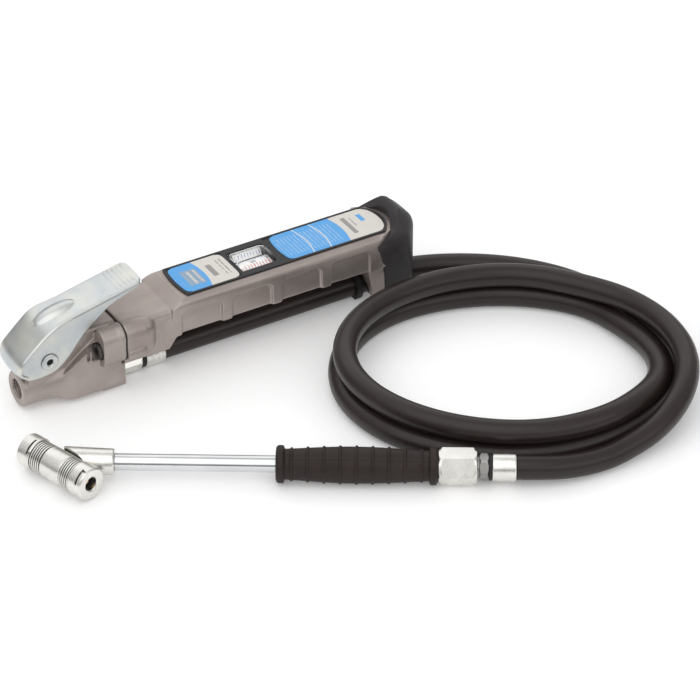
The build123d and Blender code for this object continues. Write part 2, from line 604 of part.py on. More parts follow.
for side, name in ((0, "near"), (180, "far")):
    turned = CHUCK * Rot(0, 0, side)
    save(depressor(), "valve_pin_" + name, turned)
    spring = Pos(7.1, 0, 0) * Rot(0, 90, 0) * coil_spring(3.6, 0.4, 2, 4.0)
    save(spring, "valve_pin_spring_" + name, turned)


# --- Hose -------------------------------------------------------------------------------------------------
# The free stretches are straight runs joined by tangent arcs. Between them the hose lies in a
# loose oval coil of nearly two turns, which is one ring of the coil's outer shape.
COIL = Pos(COIL_X, COIL_Y, 0) * Rot(0, 0, COIL_TURN)
COIL_HEIGHT = 4 * HOSE_R + 0.2

HOSE_RUN = [
    (-35.3, 99.3, 8.5), (146.0, 99.3, 8.5), (178.0, 87.0, 7.8), (207.0, 66.5, 7.4), (229.0, 37.5, 7.4),
    (240.0, 4.0, 7.4), (243.8, -30.0, 7.4), (240.0, -62.5, 7.4),
]
HOSE_LAST = [
    (221.5, 7.0, 21.9), (236.3, -21.0, 22.1), (240.2, -53.5, 22.1), (231.6, -86.4, 22.0), (211.7, -111.8, 19.4),
    (183.6, -126.4, 12.4), (152.7, -129.6, 7.6), (136.2, -129.6, 7.6), (120.4, -127.7, 8.8),
    (105.2, -123.3, 10.6), (90.8, -115.2, 11.2),
]


def arc_radii(points):
    """For each corner, 0.45 of the shorter run over the tangent of half the turn."""
    radii = []
    for before, here, after in zip(points, points[1:], points[2:]):
        first = Vector(here) - Vector(before)
        second = Vector(after) - Vector(here)
        half_turn = math.radians(first.get_angle(second)) / 2
        radii.append(0.45 * min(first.length, second.length) / math.tan(half_turn))
    return radii


def hose(points, name):
    radii = arc_radii(points)
    path = FilletPolyline(*points, radius=radii)
    start = Plane(origin=path @ 0, z_dir=path % 0)
    tube = sweep(start * (Circle(HOSE_R) - Circle(HOSE_BORE + 0.02)), path=path)
    section = math.pi * (HOSE_R**2 - (HOSE_BORE + 0.02) ** 2)
    print(name, "length", round(path.length, 1), "radii", [round(r) for r in radii])
    print(name, "volume over section times length", round(tube.volume / (section * path.length), 4))
    save(tube, name)


hose(HOSE_RUN, "hose_run")
hose(HOSE_LAST, "hose_end")

outer = Pos(-5.2, 9) * Ellipse(107.2, 90.5)
inner = Pos(-9, 9.7) * Ellipse(86.6, 74.8)
coil = extrude(outer - inner, COIL_HEIGHT)
coil = fillet(coil.edges(), 6.0)
save(coil, "hose_coil", COIL)
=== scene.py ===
import json
import math

import bmesh
import bpy
from mathutils import Matrix, Vector


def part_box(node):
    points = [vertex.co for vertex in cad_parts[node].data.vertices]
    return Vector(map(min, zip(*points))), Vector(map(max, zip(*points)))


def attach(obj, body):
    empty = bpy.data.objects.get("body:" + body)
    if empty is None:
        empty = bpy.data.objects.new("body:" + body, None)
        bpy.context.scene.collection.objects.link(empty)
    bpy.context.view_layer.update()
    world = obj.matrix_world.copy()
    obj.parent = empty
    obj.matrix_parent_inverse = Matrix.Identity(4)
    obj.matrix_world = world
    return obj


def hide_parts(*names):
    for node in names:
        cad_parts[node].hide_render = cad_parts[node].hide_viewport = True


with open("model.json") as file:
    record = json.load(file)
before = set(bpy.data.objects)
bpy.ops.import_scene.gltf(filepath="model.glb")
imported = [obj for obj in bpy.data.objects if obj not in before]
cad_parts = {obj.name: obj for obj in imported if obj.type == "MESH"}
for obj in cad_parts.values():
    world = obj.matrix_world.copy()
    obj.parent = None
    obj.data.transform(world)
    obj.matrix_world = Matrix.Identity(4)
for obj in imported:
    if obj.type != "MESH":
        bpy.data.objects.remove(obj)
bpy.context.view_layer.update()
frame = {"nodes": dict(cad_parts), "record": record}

# A hand-held airline tyre inflator. Local sizes are in millimetres and are scaled once, by
# each group's place, to the frame's metres.
MM = 0.001
TAU = 2 * math.pi


# --- Places, read from the frame --------------------------
def middle(node):
    low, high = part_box(node)
    return (low + high) / 2


def place(origin, turn=0.0):
    """A group's millimetres to the row frame: scaled, turned about z, then moved."""
    return Matrix.Translation(origin) @ Matrix.Rotation(math.radians(turn), 4, "Z") @ Matrix.Scale(MM, 4)


INLET_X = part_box("valve_body")[0].x
INFLATOR = place((INLET_X, middle("handle_casting").y, 0))
HOSE_R = 7.25
HOSE_Z = 8.5
INLET_Z = 13.0
GAUGE_Z = 39.5
LOW_AXIS = INFLATOR @ Matrix.Translation((0, 0, HOSE_Z))
GAUGE_AXIS = INFLATOR @ Matrix.Translation((0, 0, GAUGE_Z))

LANCE_TURN = -32.3
TUBE_MIDDLE = 119.0
lance_way = Matrix.Rotation(math.radians(LANCE_TURN), 3, "Z") @ Vector((1, 0, 0))
LANCE = place(middle("lance_tube") - lance_way * TUBE_MIDDLE * MM, LANCE_TURN)

mouth = next(m for m in frame["record"]["mounts"] if m["name"] == "chuck_mouth_near")
MOUTH_OFFSET = 23.9
chuck_turn = math.degrees(math.atan2(mouth["axis"][1], mouth["axis"][0]))
CHUCK = place(Vector(mouth["pos_m"]) - Vector(mouth["axis"]) * MOUTH_OFFSET * MM, chuck_turn)


# --- Camera -----------------------------------------------
def aim_camera(azimuth, elevation, distance, target, lens):
    a, e = math.radians(azimuth), math.radians(elevation)
    back = Vector((math.sin(a) * math.cos(e), -math.cos(a) * math.cos(e), math.sin(e)))
    data = bpy.data.cameras.new("camera")
    data.lens = lens
    data.sensor_width = 36
    camera = bpy.data.objects.new("camera", data)
    camera.location = target + back * distance
    camera.rotation_mode = "QUATERNION"
    camera.rotation_quaternion = (-back).to_track_quat("-Z", "Y")
    bpy.context.scene.collection.objects.link(camera)
    bpy.context.scene.camera = camera


TARGET = Vector((INLET_X + 0.199, INFLATOR.translation.y - 0.0504, 0))
aim_camera(azimuth=-31, elevation=34.5, distance=2.0, target=TARGET, lens=169.7)


# --- Materials --------------------------------------------
class Look:
    """A material built from nodes, with its pattern set out in millimetres."""

    def __init__(self, name, origin=(0, 0, 0)):
        self.material = bpy.data.materials.new(name)
        self.material.use_nodes = True
        self.tree = self.material.node_tree
        self.shader = self.tree.nodes["Principled BSDF"]
        where = self.tree.nodes.new("ShaderNodeTexCoord")
        self.uv = where.outputs["UV"]
        moved = self.node("ShaderNodeVectorMath", operation="SUBTRACT")
        self.link(where.outputs["Object"], moved.inputs[0])
        moved.inputs[1].default_value = origin
        scaled = self.node("ShaderNodeVectorMath", operation="SCALE")
        self.link(moved.outputs[0], scaled.inputs[0])
        scaled.inputs["Scale"].default_value = 1 / MM
        self.at = scaled.outputs[0]

    def node(self, kind, **settings):
        made = self.tree.nodes.new(kind)
        for key, value in settings.items():
            setattr(made, key, value)
        return made

    def link(self, source, target):
        self.tree.links.new(source, target)

    def feed(self, socket, value):
        if isinstance(value, bpy.types.NodeSocket):
            self.link(value, socket)
        elif isinstance(value, tuple) and len(value) == 3 and socket.type == "RGBA":
            socket.default_value = (*value, 1)
        else:
            socket.default_value = value

    def set(self, **inputs):
        for key, value in inputs.items():
            self.feed(self.shader.inputs[key.replace("_", " ")], value)
        return self

    def noise(self, scale, detail=3.0, stretch=None):
        made = self.node("ShaderNodeTexNoise")
        vector = self.at
        if stretch:
            shaped = self.node("ShaderNodeVectorMath", operation="MULTIPLY")
            self.link(self.at, shaped.inputs[0])
            shaped.inputs[1].default_value = stretch
            vector = shaped.outputs[0]
        self.link(vector, made.inputs["Vector"])
        made.inputs["Scale"].default_value = scale
        made.inputs["Detail"].default_value = detail
        return made.outputs["Fac"]

    def math(self, operation, first, second=0.0, third=0.0):
        made = self.node("ShaderNodeMath", operation=operation)
        for socket, value in zip(made.inputs, (first, second, third)):
            self.feed(socket, value)
        return made.outputs[0]

    def spread(self, value, low, high, start=0.3, end=0.7):
        """A 0 to 1 value between start and end, as a number between low and high."""
        made = self.node("ShaderNodeMapRange")
        for socket, number in zip(made.inputs, (value, start, end, low, high)):
            self.feed(socket, number)
        return made.outputs[0]

    def mix(self, factor, first, second):
        made = self.node("ShaderNodeMix", data_type="RGBA")
        self.feed(made.inputs["Factor"], factor)
        self.feed(made.inputs["A"], first)
        self.feed(made.inputs["B"], second)
        return made.outputs["Result"]

    def bump(self, height, strength, distance=0.1):
        made = self.node("ShaderNodeBump")
        self.feed(made.inputs["Height"], height)
        made.inputs["Strength"].default_value = strength
        made.inputs["Distance"].default_value = distance * MM
        self.link(made.outputs[0], self.shader.inputs["Normal"])
        return self

    def crevice_shade(self, colour, dark, reach=1.5):
        """The colour with painted shade: darkened towards dark in grooves and corners narrower than reach.
        """
        made = self.node("ShaderNodeAmbientOcclusion", samples=8)
        made.inputs["Distance"].default_value = reach * MM
        return self.mix(self.spread(made.outputs["AO"], 1, 0, 0.15, 0.8), colour, dark)

    def axes(self):
        made = self.node("ShaderNodeSeparateXYZ")
        self.link(self.at, made.inputs[0])
        return made.outputs


def metal(name, pale, dark, rough, grain, strength, metallic=1.0, patch=0.06):
    """A metal whose colour and polish vary in soft patches, with a fine grain."""
    look = Look(name)
    patches = look.noise(patch, 4)
    fine = look.noise(grain, 2)
    plain = look.mix(look.spread(patches, 0, 1), dark, pale)
    # Painted shade: the colour darkens in grooves and corners.
    colour = look.crevice_shade(plain, tuple(0.25 * c for c in dark))
    polish = look.spread(fine, rough - 0.04, rough + 0.05)
    polish = look.math("ADD", look.spread(patches, -0.04, 0.04), polish)
    look.set(Base_Color=colour, Metallic=metallic, Roughness=polish).bump(fine, strength)
    return look.material


def cast_alloy():
    look = Look("cast_alloy")
    patches = look.noise(0.045, 4)
    sand = look.noise(1.9, 3)
    streaks = look.noise(0.35, 3, (0.25, 1, 1))
    colour = look.mix(look.spread(patches, 0, 1), (0.37, 0.315, 0.29), (0.46, 0.405, 0.378))
    colour = look.mix(look.spread(sand, 0, 0.22), colour, (0.24, 0.2, 0.185))
    # Lighter colour on sharp convex edges.
    edge_pointiness = look.node("ShaderNodeNewGeometry").outputs["Pointiness"]
    edges = look.spread(edge_pointiness, 0, 0.3, 0.52, 0.64)
    colour = look.mix(edges, colour, (0.62, 0.57, 0.54))
    rough = look.math("ADD", look.spread(streaks, 0.36, 0.46), look.spread(sand, 0, 0.06))
    look.set(Base_Color=colour, Metallic=0.72, Roughness=rough).bump(sand, 0.35, 0.12)
    return look.material


def zinc_steel():
    look = Look("zinc_steel")
    patches = look.noise(0.055, 3)
    bloom = look.noise(0.12, 2)
    fine = look.noise(3.0, 2)
    colour = look.mix(look.spread(patches, 0, 1, 0.35, 0.65), (0.52, 0.55, 0.57), (0.68, 0.675, 0.61))
    colour = look.mix(look.spread(bloom, 0, 0.35), colour, (0.62, 0.665, 0.685))
    # Painted shade: the colour darkens in grooves, corners and creases.
    colour = look.crevice_shade(colour, (0.12, 0.11, 0.105), 3.0)
    rough = look.math("ADD", look.spread(bloom, 0.26, 0.36), look.spread(fine, 0, 0.04))
    look.set(Base_Color=colour, Metallic=0.95, Roughness=rough).bump(fine, 0.08, 0.05)
    return look.material


def rubber(name, dark, pale, rough, grain, strength):
    """Dull black, with soft patches, a fine grain and a little pale dust."""
    look = Look(name)
    patches = look.noise(0.08, 4)
    fine = look.noise(grain, 3)
    dust = look.noise(0.5, 5)
    colour = look.mix(look.spread(patches, 0, 1), dark, pale)
    colour = look.mix(look.spread(dust, 0, 0.2, 0.5, 0.8), colour, tuple(1.6 * c for c in pale))
    polish = look.spread(fine, rough - 0.05, rough + 0.07)
    polish = look.math("ADD", polish, look.spread(patches, -0.04, 0.04))
    look.set(Base_Color=colour, Roughness=polish, Specular_IOR_Level=0.3)
    look.bump(fine, strength)
    return look.material


WEAVE_ALONG = 1040          # threads of the cover's wrap along the whole hose
WEAVE_AROUND = 26


def hose_cover():
    """Dark rubber that carries the print of the cloth that it was cured in."""
    look = Look("hose_rubber")
    parts = look.node("ShaderNodeSeparateXYZ")
    look.link(look.uv, parts.inputs[0])
    along = look.math("MULTIPLY", parts.outputs[0], WEAVE_ALONG)
    around = look.math("MULTIPLY", parts.outputs[1], WEAVE_AROUND)
    right = look.math("SINE", look.math("MULTIPLY", look.math("ADD", along, around), TAU))
    left = look.math("SINE", look.math("MULTIPLY", look.math("SUBTRACT", along, around), TAU))
    weave = look.math("ADD", look.math("MULTIPLY", right, 0.5), look.math("MULTIPLY", left, 0.5))
    patches = look.noise(0.03, 4)
    fine = look.noise(2.6, 3)
    colour = look.mix(look.spread(patches, 0, 1), (0.013, 0.008, 0.0072), (0.022, 0.0145, 0.013))
    colour = look.mix(look.spread(weave, 0, 0.3, -1, 1), colour, (0.034, 0.024, 0.022))
    rough = look.math("ADD", look.spread(fine, 0.30, 0.42), look.spread(weave, -0.03, 0.03, -1, 1))
    height = look.math("ADD", look.math("MULTIPLY", weave, 0.5), fine)
    look.set(Base_Color=colour, Roughness=rough, Specular_IOR_Level=0.38).bump(height, 0.16, 0.12)
    return look.material


def band(look, value, low, high):
    """1 where a value lies from low to high, otherwise 0."""
    return look.math("COMPARE", value, (low + high) / 2, (high - low) / 2)


def both(look, *masks):
    """1 where every mask is 1, otherwise 0."""
    product = masks[0]
    for mask in masks[1:]:
        product = look.math("MULTIPLY", product, mask)
    return product


def lines(look, value, pitch, width):
    """1 on thin stripes of that width, one to each pitch."""
    positive = look.math("ADD", value, 1000.0)
    return look.math("LESS_THAN", look.math("MODULO", positive, pitch), width)


def within(look, x, y, field):
    """1 inside a field of the print, given as x0, x1, y0, y1, otherwise 0."""
    x0, x1, y0, y1 = field
    return both(look, band(look, x, x0, x1), band(look, y, y0, y1))


PRINT_BLUE = (0.07, 0.37, 0.80)
PRINT_WHITE = (0.70, 0.67, 0.62)
PRINT_GREY = (0.20, 0.19, 0.19)
PRINT_PALE = (0.62, 0.60, 0.56)
LABEL_BOW = 0.011           # how far the blue fields' ends lean back towards the label's sides
FRONT_BLUE_END = 127.5
REAR_BLUE = (150, 223.5)
FRONT_PANEL = (114, 124.5, -9, 7.5)
FRONT_WORDS = (115, 123.5, -8, 6.5)
FRONT_MARK = (131, 134.5, -6.5, 6.5)
FRONT_NOTES = (139, 144, -8, 9)
REAR_RULES = (197.6, 198.3), (209.6, 210.3)
REAR_WORDS = (180, 219, -11, 9.5)
REAR_BAR = (227.5, 230.5, -9, 10)
REAR_NOTE = (232.6, 233.4, -3, 8)
REAR_TAB = (238, 241, 1, 9)


def label_print():
    """Blue and white fields with plain bars and dashes where a maker's print would be."""
    look = Look("label_print", tuple(INFLATOR.translation))
    x, y, _ = look.axes()
    squared = look.math("MULTIPLY", y, y)
    bowed = look.math("ADD", x, look.math("MULTIPLY", squared, LABEL_BOW))
    scatter = look.noise(1.1, 2, (0.2, 1, 1))
    words = look.math("GREATER_THAN", scatter, 0.44)
    front_blue = look.math("LESS_THAN", bowed, FRONT_BLUE_END)
    blue = look.math("MAXIMUM", front_blue, band(look, bowed, *REAR_BLUE))
    colour = look.mix(blue, PRINT_WHITE, PRINT_BLUE)
    # Front blue field: a grey panel with dashes.
    panel = within(look, x, y, FRONT_PANEL)
    colour = look.mix(look.math("MULTIPLY", panel, 0.75), colour, (0.30, 0.36, 0.41))
    rows = both(look, within(look, x, y, FRONT_WORDS), lines(look, x, 4.4, 2.0), words)
    colour = look.mix(rows, colour, PRINT_PALE)
    # Rear blue field: two fine white rules and rows of pale dashes across.
    first, second = REAR_RULES
    rules = look.math("MAXIMUM", band(look, bowed, *first), band(look, bowed, *second))
    colour = look.mix(rules, colour, (0.72, 0.74, 0.74))
    small = both(look, within(look, x, y, REAR_WORDS), lines(look, x, 2.35, 0.85), words)
    colour = look.mix(look.math("MULTIPLY", small, 0.5), colour, (0.50, 0.66, 0.80))
    # White fields: plain grey bars and short rows.
    bars = look.math("MAXIMUM", within(look, x, y, REAR_BAR), within(look, x, y, FRONT_MARK))
    note = both(look, within(look, x, y, REAR_NOTE), words)
    notes = both(look, within(look, x, y, FRONT_NOTES), lines(look, x, 2.6, 0.9), words)
    grey = look.math("MAXIMUM", bars, look.math("MAXIMUM", note, notes))
    colour = look.mix(look.math("MULTIPLY", grey, 0.8), colour, PRINT_GREY)
    colour = look.mix(within(look, x, y, REAR_TAB), colour, PRINT_BLUE)
    wear = look.noise(0.3, 5)
    colour = look.mix(look.spread(wear, 0, 0.12), colour, (0.5, 0.5, 0.5))
    look.set(Base_Color=colour, Roughness=look.spread(wear, 0.3, 0.42), Specular_IOR_Level=0.35)
    look.bump(wear, 0.05, 0.05)
    return look.material


RED_TICKS = (-4.8, -1.6)
LONG_RED_TICKS = (-8.6, -1.6)
BLUE_TICKS = (2.4, 5.2)
LINER_TICKS = (8.3, 9.7)


def scale_print():
    """White, with red ticks on one side and blue ticks on the other: for the barrel and the liner."""
    look = Look("scale_print", tuple(INFLATOR.translation))
    x, y, _ = look.axes()
    fine = lines(look, x, 2.0, 0.35)
    long_mark = lines(look, x, 10.0, 0.55)
    blue_side = look.math("MAXIMUM", band(look, y, *BLUE_TICKS), band(look, y, *LINER_TICKS))
    red = both(look, look.math("MAXIMUM", fine, long_mark), band(look, y, *RED_TICKS))
    red = look.math("MAXIMUM", red, both(look, long_mark, band(look, y, *LONG_RED_TICKS)))
    blue = both(look, fine, blue_side)
    grime = look.noise(0.4, 4)
    colour = look.mix(look.spread(grime, 0, 1), (0.80, 0.78, 0.75), (0.88, 0.86, 0.84))
    colour = look.mix(red, colour, (0.62, 0.05, 0.05))
    colour = look.mix(blue, colour, (0.08, 0.16, 0.55))
    look.set(Base_Color=colour, Roughness=look.spread(grime, 0.22, 0.32), Coat_Weight=0.3)
    look.bump(grime, 0.05, 0.05)
    return look.material


def lens_clear():
    """Clear moulding that throws no dark shadow on the scale under it."""
    look = Look("lens_clear")
    ripple = look.noise(0.35, 2)
    look.set(Base_Color=(0.97, 0.98, 0.985), Roughness=look.spread(ripple, 0.02, 0.06))
    look.set(Transmission_Weight=1.0, IOR=1.25).bump(ripple, 0.1, 0.2)
    through = look.node("ShaderNodeBsdfTransparent")
    through.inputs["Color"].default_value = (0.95, 0.96, 0.965, 1)
    blend = look.node("ShaderNodeMixShader")
    look.link(look.node("ShaderNodeLightPath").outputs["Is Shadow Ray"], blend.inputs["Fac"])
    look.link(look.shader.outputs[0], blend.inputs[1])
    look.link(through.outputs[0], blend.inputs[2])
    look.link(blend.outputs[0], look.tree.nodes["Material Output"].inputs["Surface"])
    return look.material


FLOOR_GLOW = 0.16


def floor_paint():
    """Nearly white, and lit a little from within so that it fades into the white page."""
    look = Look("floor_paint")
    wash = look.noise(0.004, 3)
    colour = look.mix(look.spread(wash, 0, 1), (0.90, 0.90, 0.90), (0.92, 0.92, 0.92))
    look.set(Base_Color=colour, Roughness=0.85, Emission_Color=(1, 1, 1), Emission_Strength=FLOOR_GLOW)
    return look.material


FINISH = {
    "cast_alloy": cast_alloy(),
    "zinc_steel": zinc_steel(),
    "plated_fitting": metal(
        "plated_fitting", (0.84, 0.83, 0.79), (0.70, 0.69, 0.65), 0.28, 2.2, 0.1, patch=0.12
    ),
    "chrome_tube": metal("chrome_tube", (0.72, 0.73, 0.74), (0.64, 0.65, 0.66), 0.12, 1.2, 0.02),
    "brass": metal("brass", (0.72, 0.53, 0.25), (0.55, 0.38, 0.16), 0.26, 2.5, 0.08, patch=0.15),
    "hose_rubber": hose_cover(),
    "grip_rubber": rubber("grip_rubber", (0.017, 0.0095, 0.0082), (0.026, 0.0165, 0.0148), 0.55, 2.0, 0.3),
    "buffer_rubber": rubber("buffer_rubber", (0.031, 0.028, 0.0295), (0.043, 0.039, 0.041), 0.46, 1.6, 0.22),
    "black_plastic": rubber("black_plastic", (0.020, 0.0185, 0.020), (0.028, 0.026, 0.028), 0.42, 2.4, 0.15),
    "label_print": label_print(),
    "lens_clear": lens_clear(),
    "scale_print": scale_print(),
    "seal_rubber": rubber("seal_rubber", (0.012, 0.012, 0.012), (0.022, 0.021, 0.021), 0.5, 2.0, 0.15),
    "spring_steel": metal("spring_steel", (0.62, 0.62, 0.62), (0.5, 0.5, 0.5), 0.25, 3.0, 0.05),
    "screw_steel": metal("screw_steel", (0.16, 0.15, 0.15), (0.08, 0.075, 0.075), 0.35, 2.0, 0.1, 0.8),
}
SMALL_HEX = metal("grey_hex", (0.42, 0.41, 0.40), (0.30, 0.29, 0.28), 0.36, 2.0, 0.12, 0.9)

SLOT_OF = {part["node"]: part["material_slot"] for part in frame["record"]["subparts"]}
for node_name, slot_name in SLOT_OF.items():
    carried = frame["nodes"][node_name]
    carried.data.materials.clear()
    carried.data.materials.append(FINISH[slot_name])


# --- Mesh helpers -----------------------------------------
def settle(obj, nodes, body="inflator", slot=None, finish=None):
    """Gives a new piece its finish and its body, and hides the CAD nodes that it stands for."""
    slot = slot or SLOT_OF[nodes[0]]
    obj.data.materials.clear()
    obj.data.materials.append(finish or FINISH[slot])
    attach(obj, body)
    if nodes:
        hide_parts(*nodes)
    return obj


def add_object(name, mesh):
    obj = bpy.data.objects.new(name, mesh)
    bpy.context.scene.collection.objects.link(obj)
    return obj


def rising(value, start, end):
    """0 up to start, 1 from end on, and a smooth rise between them."""
    u = min(1.0, max(0.0, (value - start) / (end - start)))
    return u * u * (3 - 2 * u)


def from_bmesh(name, bm, angle=38):
    """A new object of bm's faces, smooth except at edges sharper than the angle."""
    bmesh.ops.remove_doubles(bm, verts=bm.verts, dist=1e-7)
    bmesh.ops.recalc_face_normals(bm, faces=bm.faces)
    mesh = bpy.data.meshes.new(name)
    bm.to_mesh(mesh)
    bm.free()
    mesh.shade_smooth()
    mesh.set_sharp_from_angle(angle=math.radians(angle))
    return add_object(name, mesh)


CORNER_STEPS = 4


def soften(points, size):
    """A profile with each inner corner rounded, by up to size along each side."""
    points = [Vector(p) for p in points]
    out = [points[0]]
    for before, here, after in zip(points, points[1:], points[2:]):
        back, on = before - here, after - here
        reach = min(size, back.length * 0.45, on.length * 0.45)
        start, end = here + back.normalized() * reach, here + on.normalized() * reach
        for step in range(CORNER_STEPS + 1):
            t = step / CORNER_STEPS
            out.append(start * (1 - t) ** 2 + here * 2 * t * (1 - t) + end * t * t)
    out.append(points[-1])
    return out


def dense(points, step):
    """A profile with extra points, so that nothing is longer than step."""
    out = [points[0]]
    for here, after in zip(points, points[1:]):
        count = max(1, math.ceil((after - here).length / step))
        out += [here.lerp(after, (i + 1) / count) for i in range(count)]
    return out


def wall(bm, here, after):
    """Faces between two closed loops of as many points."""
    for index in range(len(here)):
        bm.faces.new((here[index - 1], here[index], after[index], after[index - 1]))


def turn_profile(bm, profile, matrix, sides, shape=None):
    """Adds to bm the profile's (x, r) points turned about x. shape(x, r, angle) may change r."""
    rings = []
    for x, r in profile:
        ring = []
        for side in range(sides):
            angle = TAU * side / sides
            reach = shape(x, r, angle) if shape else r
            ring.append(bm.verts.new(matrix @ Vector((x, reach * math.sin(angle), reach * math.cos(angle)))))
        rings.append(ring)
    for here, after in zip(rings, rings[1:]):
        wall(bm, here, after)


def turned(name, profile, matrix, nodes, sides=96, shape=None, angle=38, **rest):
    bm = bmesh.new()
    turn_profile(bm, profile, matrix, sides, shape)
    return settle(from_bmesh(name, bm, angle), nodes, **rest)


def hexagon(flats):
    """Radius rule for a hexagon bar, which stays round where the profile is smaller."""
    def rule(x, r, angle):
        within = (angle + TAU / 12) % (TAU / 6) - TAU / 12
        return min(r, flats / 2 / math.cos(within))
    return rule


def add_box(bm, matrix, low, high, bevel):
    """A box between two corners, with rounded edges."""
    made = bmesh.ops.create_cube(bm, size=1)["verts"]
    low, high = Vector(low), Vector(high)
    for vert in made:
        vert.co = Vector(((low[i] + high[i]) / 2 + vert.co[i] * (high[i] - low[i]) for i in range(3)))
    edges = {e for v in made for e in v.link_edges}
    result = bmesh.ops.bevel(bm, geom=list(edges), offset=bevel, segments=3, affect="EDGES", profile=0.5)
    for vert in {v for f in result["faces"] for v in f.verts} | {v for v in made if v.is_valid}:
        vert.co = matrix @ vert.co


def add_capsule(bm, matrix, start, end, radius, sides):
    """A round-ended bar from start to end."""
    start, end = Vector(start), Vector(end)
    way = end - start
    half = way.length / 2
    turns = [i * math.pi / 16 for i in range(9)]
    outline = [(-half - radius * math.cos(a), radius * math.sin(a)) for a in turns]
    outline += [(-x, r) for x, r in reversed(outline)]
    lay = Matrix.Translation((start + end) / 2) @ way.to_track_quat("X", "Z").to_matrix().to_4x4()
    turn_profile(bm, outline, matrix @ lay, sides)


def baked(obj, name):
    """The object's mesh with its modifiers applied; the object itself is removed."""
    bpy.context.view_layer.update()
    mesh = bpy.data.meshes.new_from_object(obj.evaluated_get(bpy.context.evaluated_depsgraph_get()))
    bpy.data.objects.remove(obj)
    mesh.name = name
    return mesh


def eased_skin(bm, name, voxel, passes):
    """Closed shapes in bm flow into one skin with rounded edges."""
    mesh = bpy.data.meshes.new(name)
    bm.to_mesh(mesh)
    bm.free()
    rough = add_object(name + "_rough", mesh)
    skin = rough.modifiers.new("skin", "REMESH")
    skin.mode = "VOXEL"
    skin.voxel_size = voxel * MM
    ease = rough.modifiers.new("ease", "SMOOTH")
    ease.factor = 0.5
    ease.iterations = passes
    return baked(rough, name)


def relax(mesh, weight, passes):
    """Smooths part of a skin further, by a weight from 0 to 1 at each local point."""
    obj = add_object("relaxed", mesh)
    group = obj.vertex_groups.new(name="soft")
    back = INFLATOR.inverted()
    for vert in mesh.vertices:
        value = weight(back @ vert.co)
        if value > 0:
            group.add([vert.index], value, "REPLACE")
    ease = obj.modifiers.new("relax", "SMOOTH")
    ease.factor = 0.7
    ease.iterations = passes
    ease.vertex_group = "soft"
    return baked(obj, mesh.name)


def remelt(name, node, voxel, passes, extras, soft):
    """A cast or moulded piece: its CAD solid and any added features become one skin."""
    bm = bmesh.new()
    bm.from_mesh(frame["nodes"][node].data)
    bmesh.ops.remove_doubles(bm, verts=bm.verts, dist=2e-6)
    extras(bm)
    mesh = relax(eased_skin(bm, name, voxel, passes), *soft)
    mesh.shade_smooth()
    return settle(add_object(name, mesh), [node])


# --- Hose -------------------------------------------------
HOSE_RUN = [
    (-35.3, 99.3, 8.5), (112.0, 99.3, 8.5), (146.0, 99.3, 8.5), (178.0, 87.0, 7.8), (207.0, 66.5, 7.4),
    (229.0, 37.5, 7.4), (240.0, 4.0, 7.4), (243.8, -30.0, 7.4), (240.0, -62.5, 7.4),
]
HOSE_LAST = [
    (221.5, 7.0, 21.9), (236.3, -21.0, 22.1), (240.2, -53.5, 22.1), (231.6, -86.4, 22.0),
    (211.7, -111.8, 19.4), (183.6, -126.4, 12.4), (152.7, -129.6, 7.6), (136.2, -129.6, 7.6),
    (120.4, -127.7, 8.8), (105.2, -123.3, 10.6), (90.8, -115.2, 11.2),
]
# The loose coil between them: an oval whose turns differ in size. Each key is a turn angle
# in degrees, the oval's size there and the height of the hose's axis.
COIL_KEYS = [
    (0, 1.07, 7.4), (-26, 1.045, 7.4), (-45, 1.01, 7.4), (-60, 1.03, 7.4), (-90, 1.095, 7.4),
    (-135, 1.085, 7.4), (-180, 1.035, 7.4), (-225, 1.06, 7.4), (-270, 1.05, 7.4), (-298, 1.03, 7.4),
    (-324, 0.925, 8.3), (-360, 0.918, 11.5), (-386, 0.94, 17.6), (-405, 0.98, 21.4), (-430, 1.06, 21.9),
    (-450, 1.065, 21.9), (-495, 1.03, 21.9), (-540, 1.01, 21.9), (-585, 1.015, 21.9), (-630, 1.055, 21.9),
    (-675, 1.035, 21.9),
]
COIL_PLACE = Matrix.Translation((142.7, -38.7, 0)) @ Matrix.Rotation(math.radians(-31), 4, "Z")
COIL_START, COIL_END, COIL_POINTS = -10, -636, 27
OVAL_X, OVAL_Y = -5, 10
OVAL_LONG, OVAL_SHORT = 97, 78
OUTSIDE = 1.0223            # the control points stand this much outside the curve that they draw


def eased(keys, angle, column):
    """A smooth curve through one column of the keys, which run down in angle."""
    last = len(keys) - 1
    index = next(i for i in range(last) if angle >= keys[i + 1][0] or i == last - 1)
    here, after = keys[index], keys[index + 1]
    before, beyond = keys[max(index - 1, 0)], keys[min(index + 2, last)]
    span = after[0] - here[0]
    u = (angle - here[0]) / span
    slope_in = (after[column] - before[column]) / (after[0] - before[0]) * span
    slope_out = (beyond[column] - here[column]) / (beyond[0] - here[0]) * span
    return (
        (2 * u**3 - 3 * u * u + 1) * here[column]
        + (u**3 - 2 * u * u + u) * slope_in
        + (3 * u * u - 2 * u**3) * after[column]
        + (u**3 - u * u) * slope_out
    )


def coil_points():
    points = []
    for index in range(COIL_POINTS):
        angle = COIL_START + (COIL_END - COIL_START) * index / (COIL_POINTS - 1)
        size = eased(COIL_KEYS, angle, 1) * OUTSIDE
        a = math.radians(angle)
        x = OVAL_X + OVAL_LONG * size * math.cos(a)
        y = OVAL_Y + OVAL_SHORT * size * math.sin(a)
        points.append(COIL_PLACE @ Vector((x, y, eased(COIL_KEYS, angle, 2))))
    return points


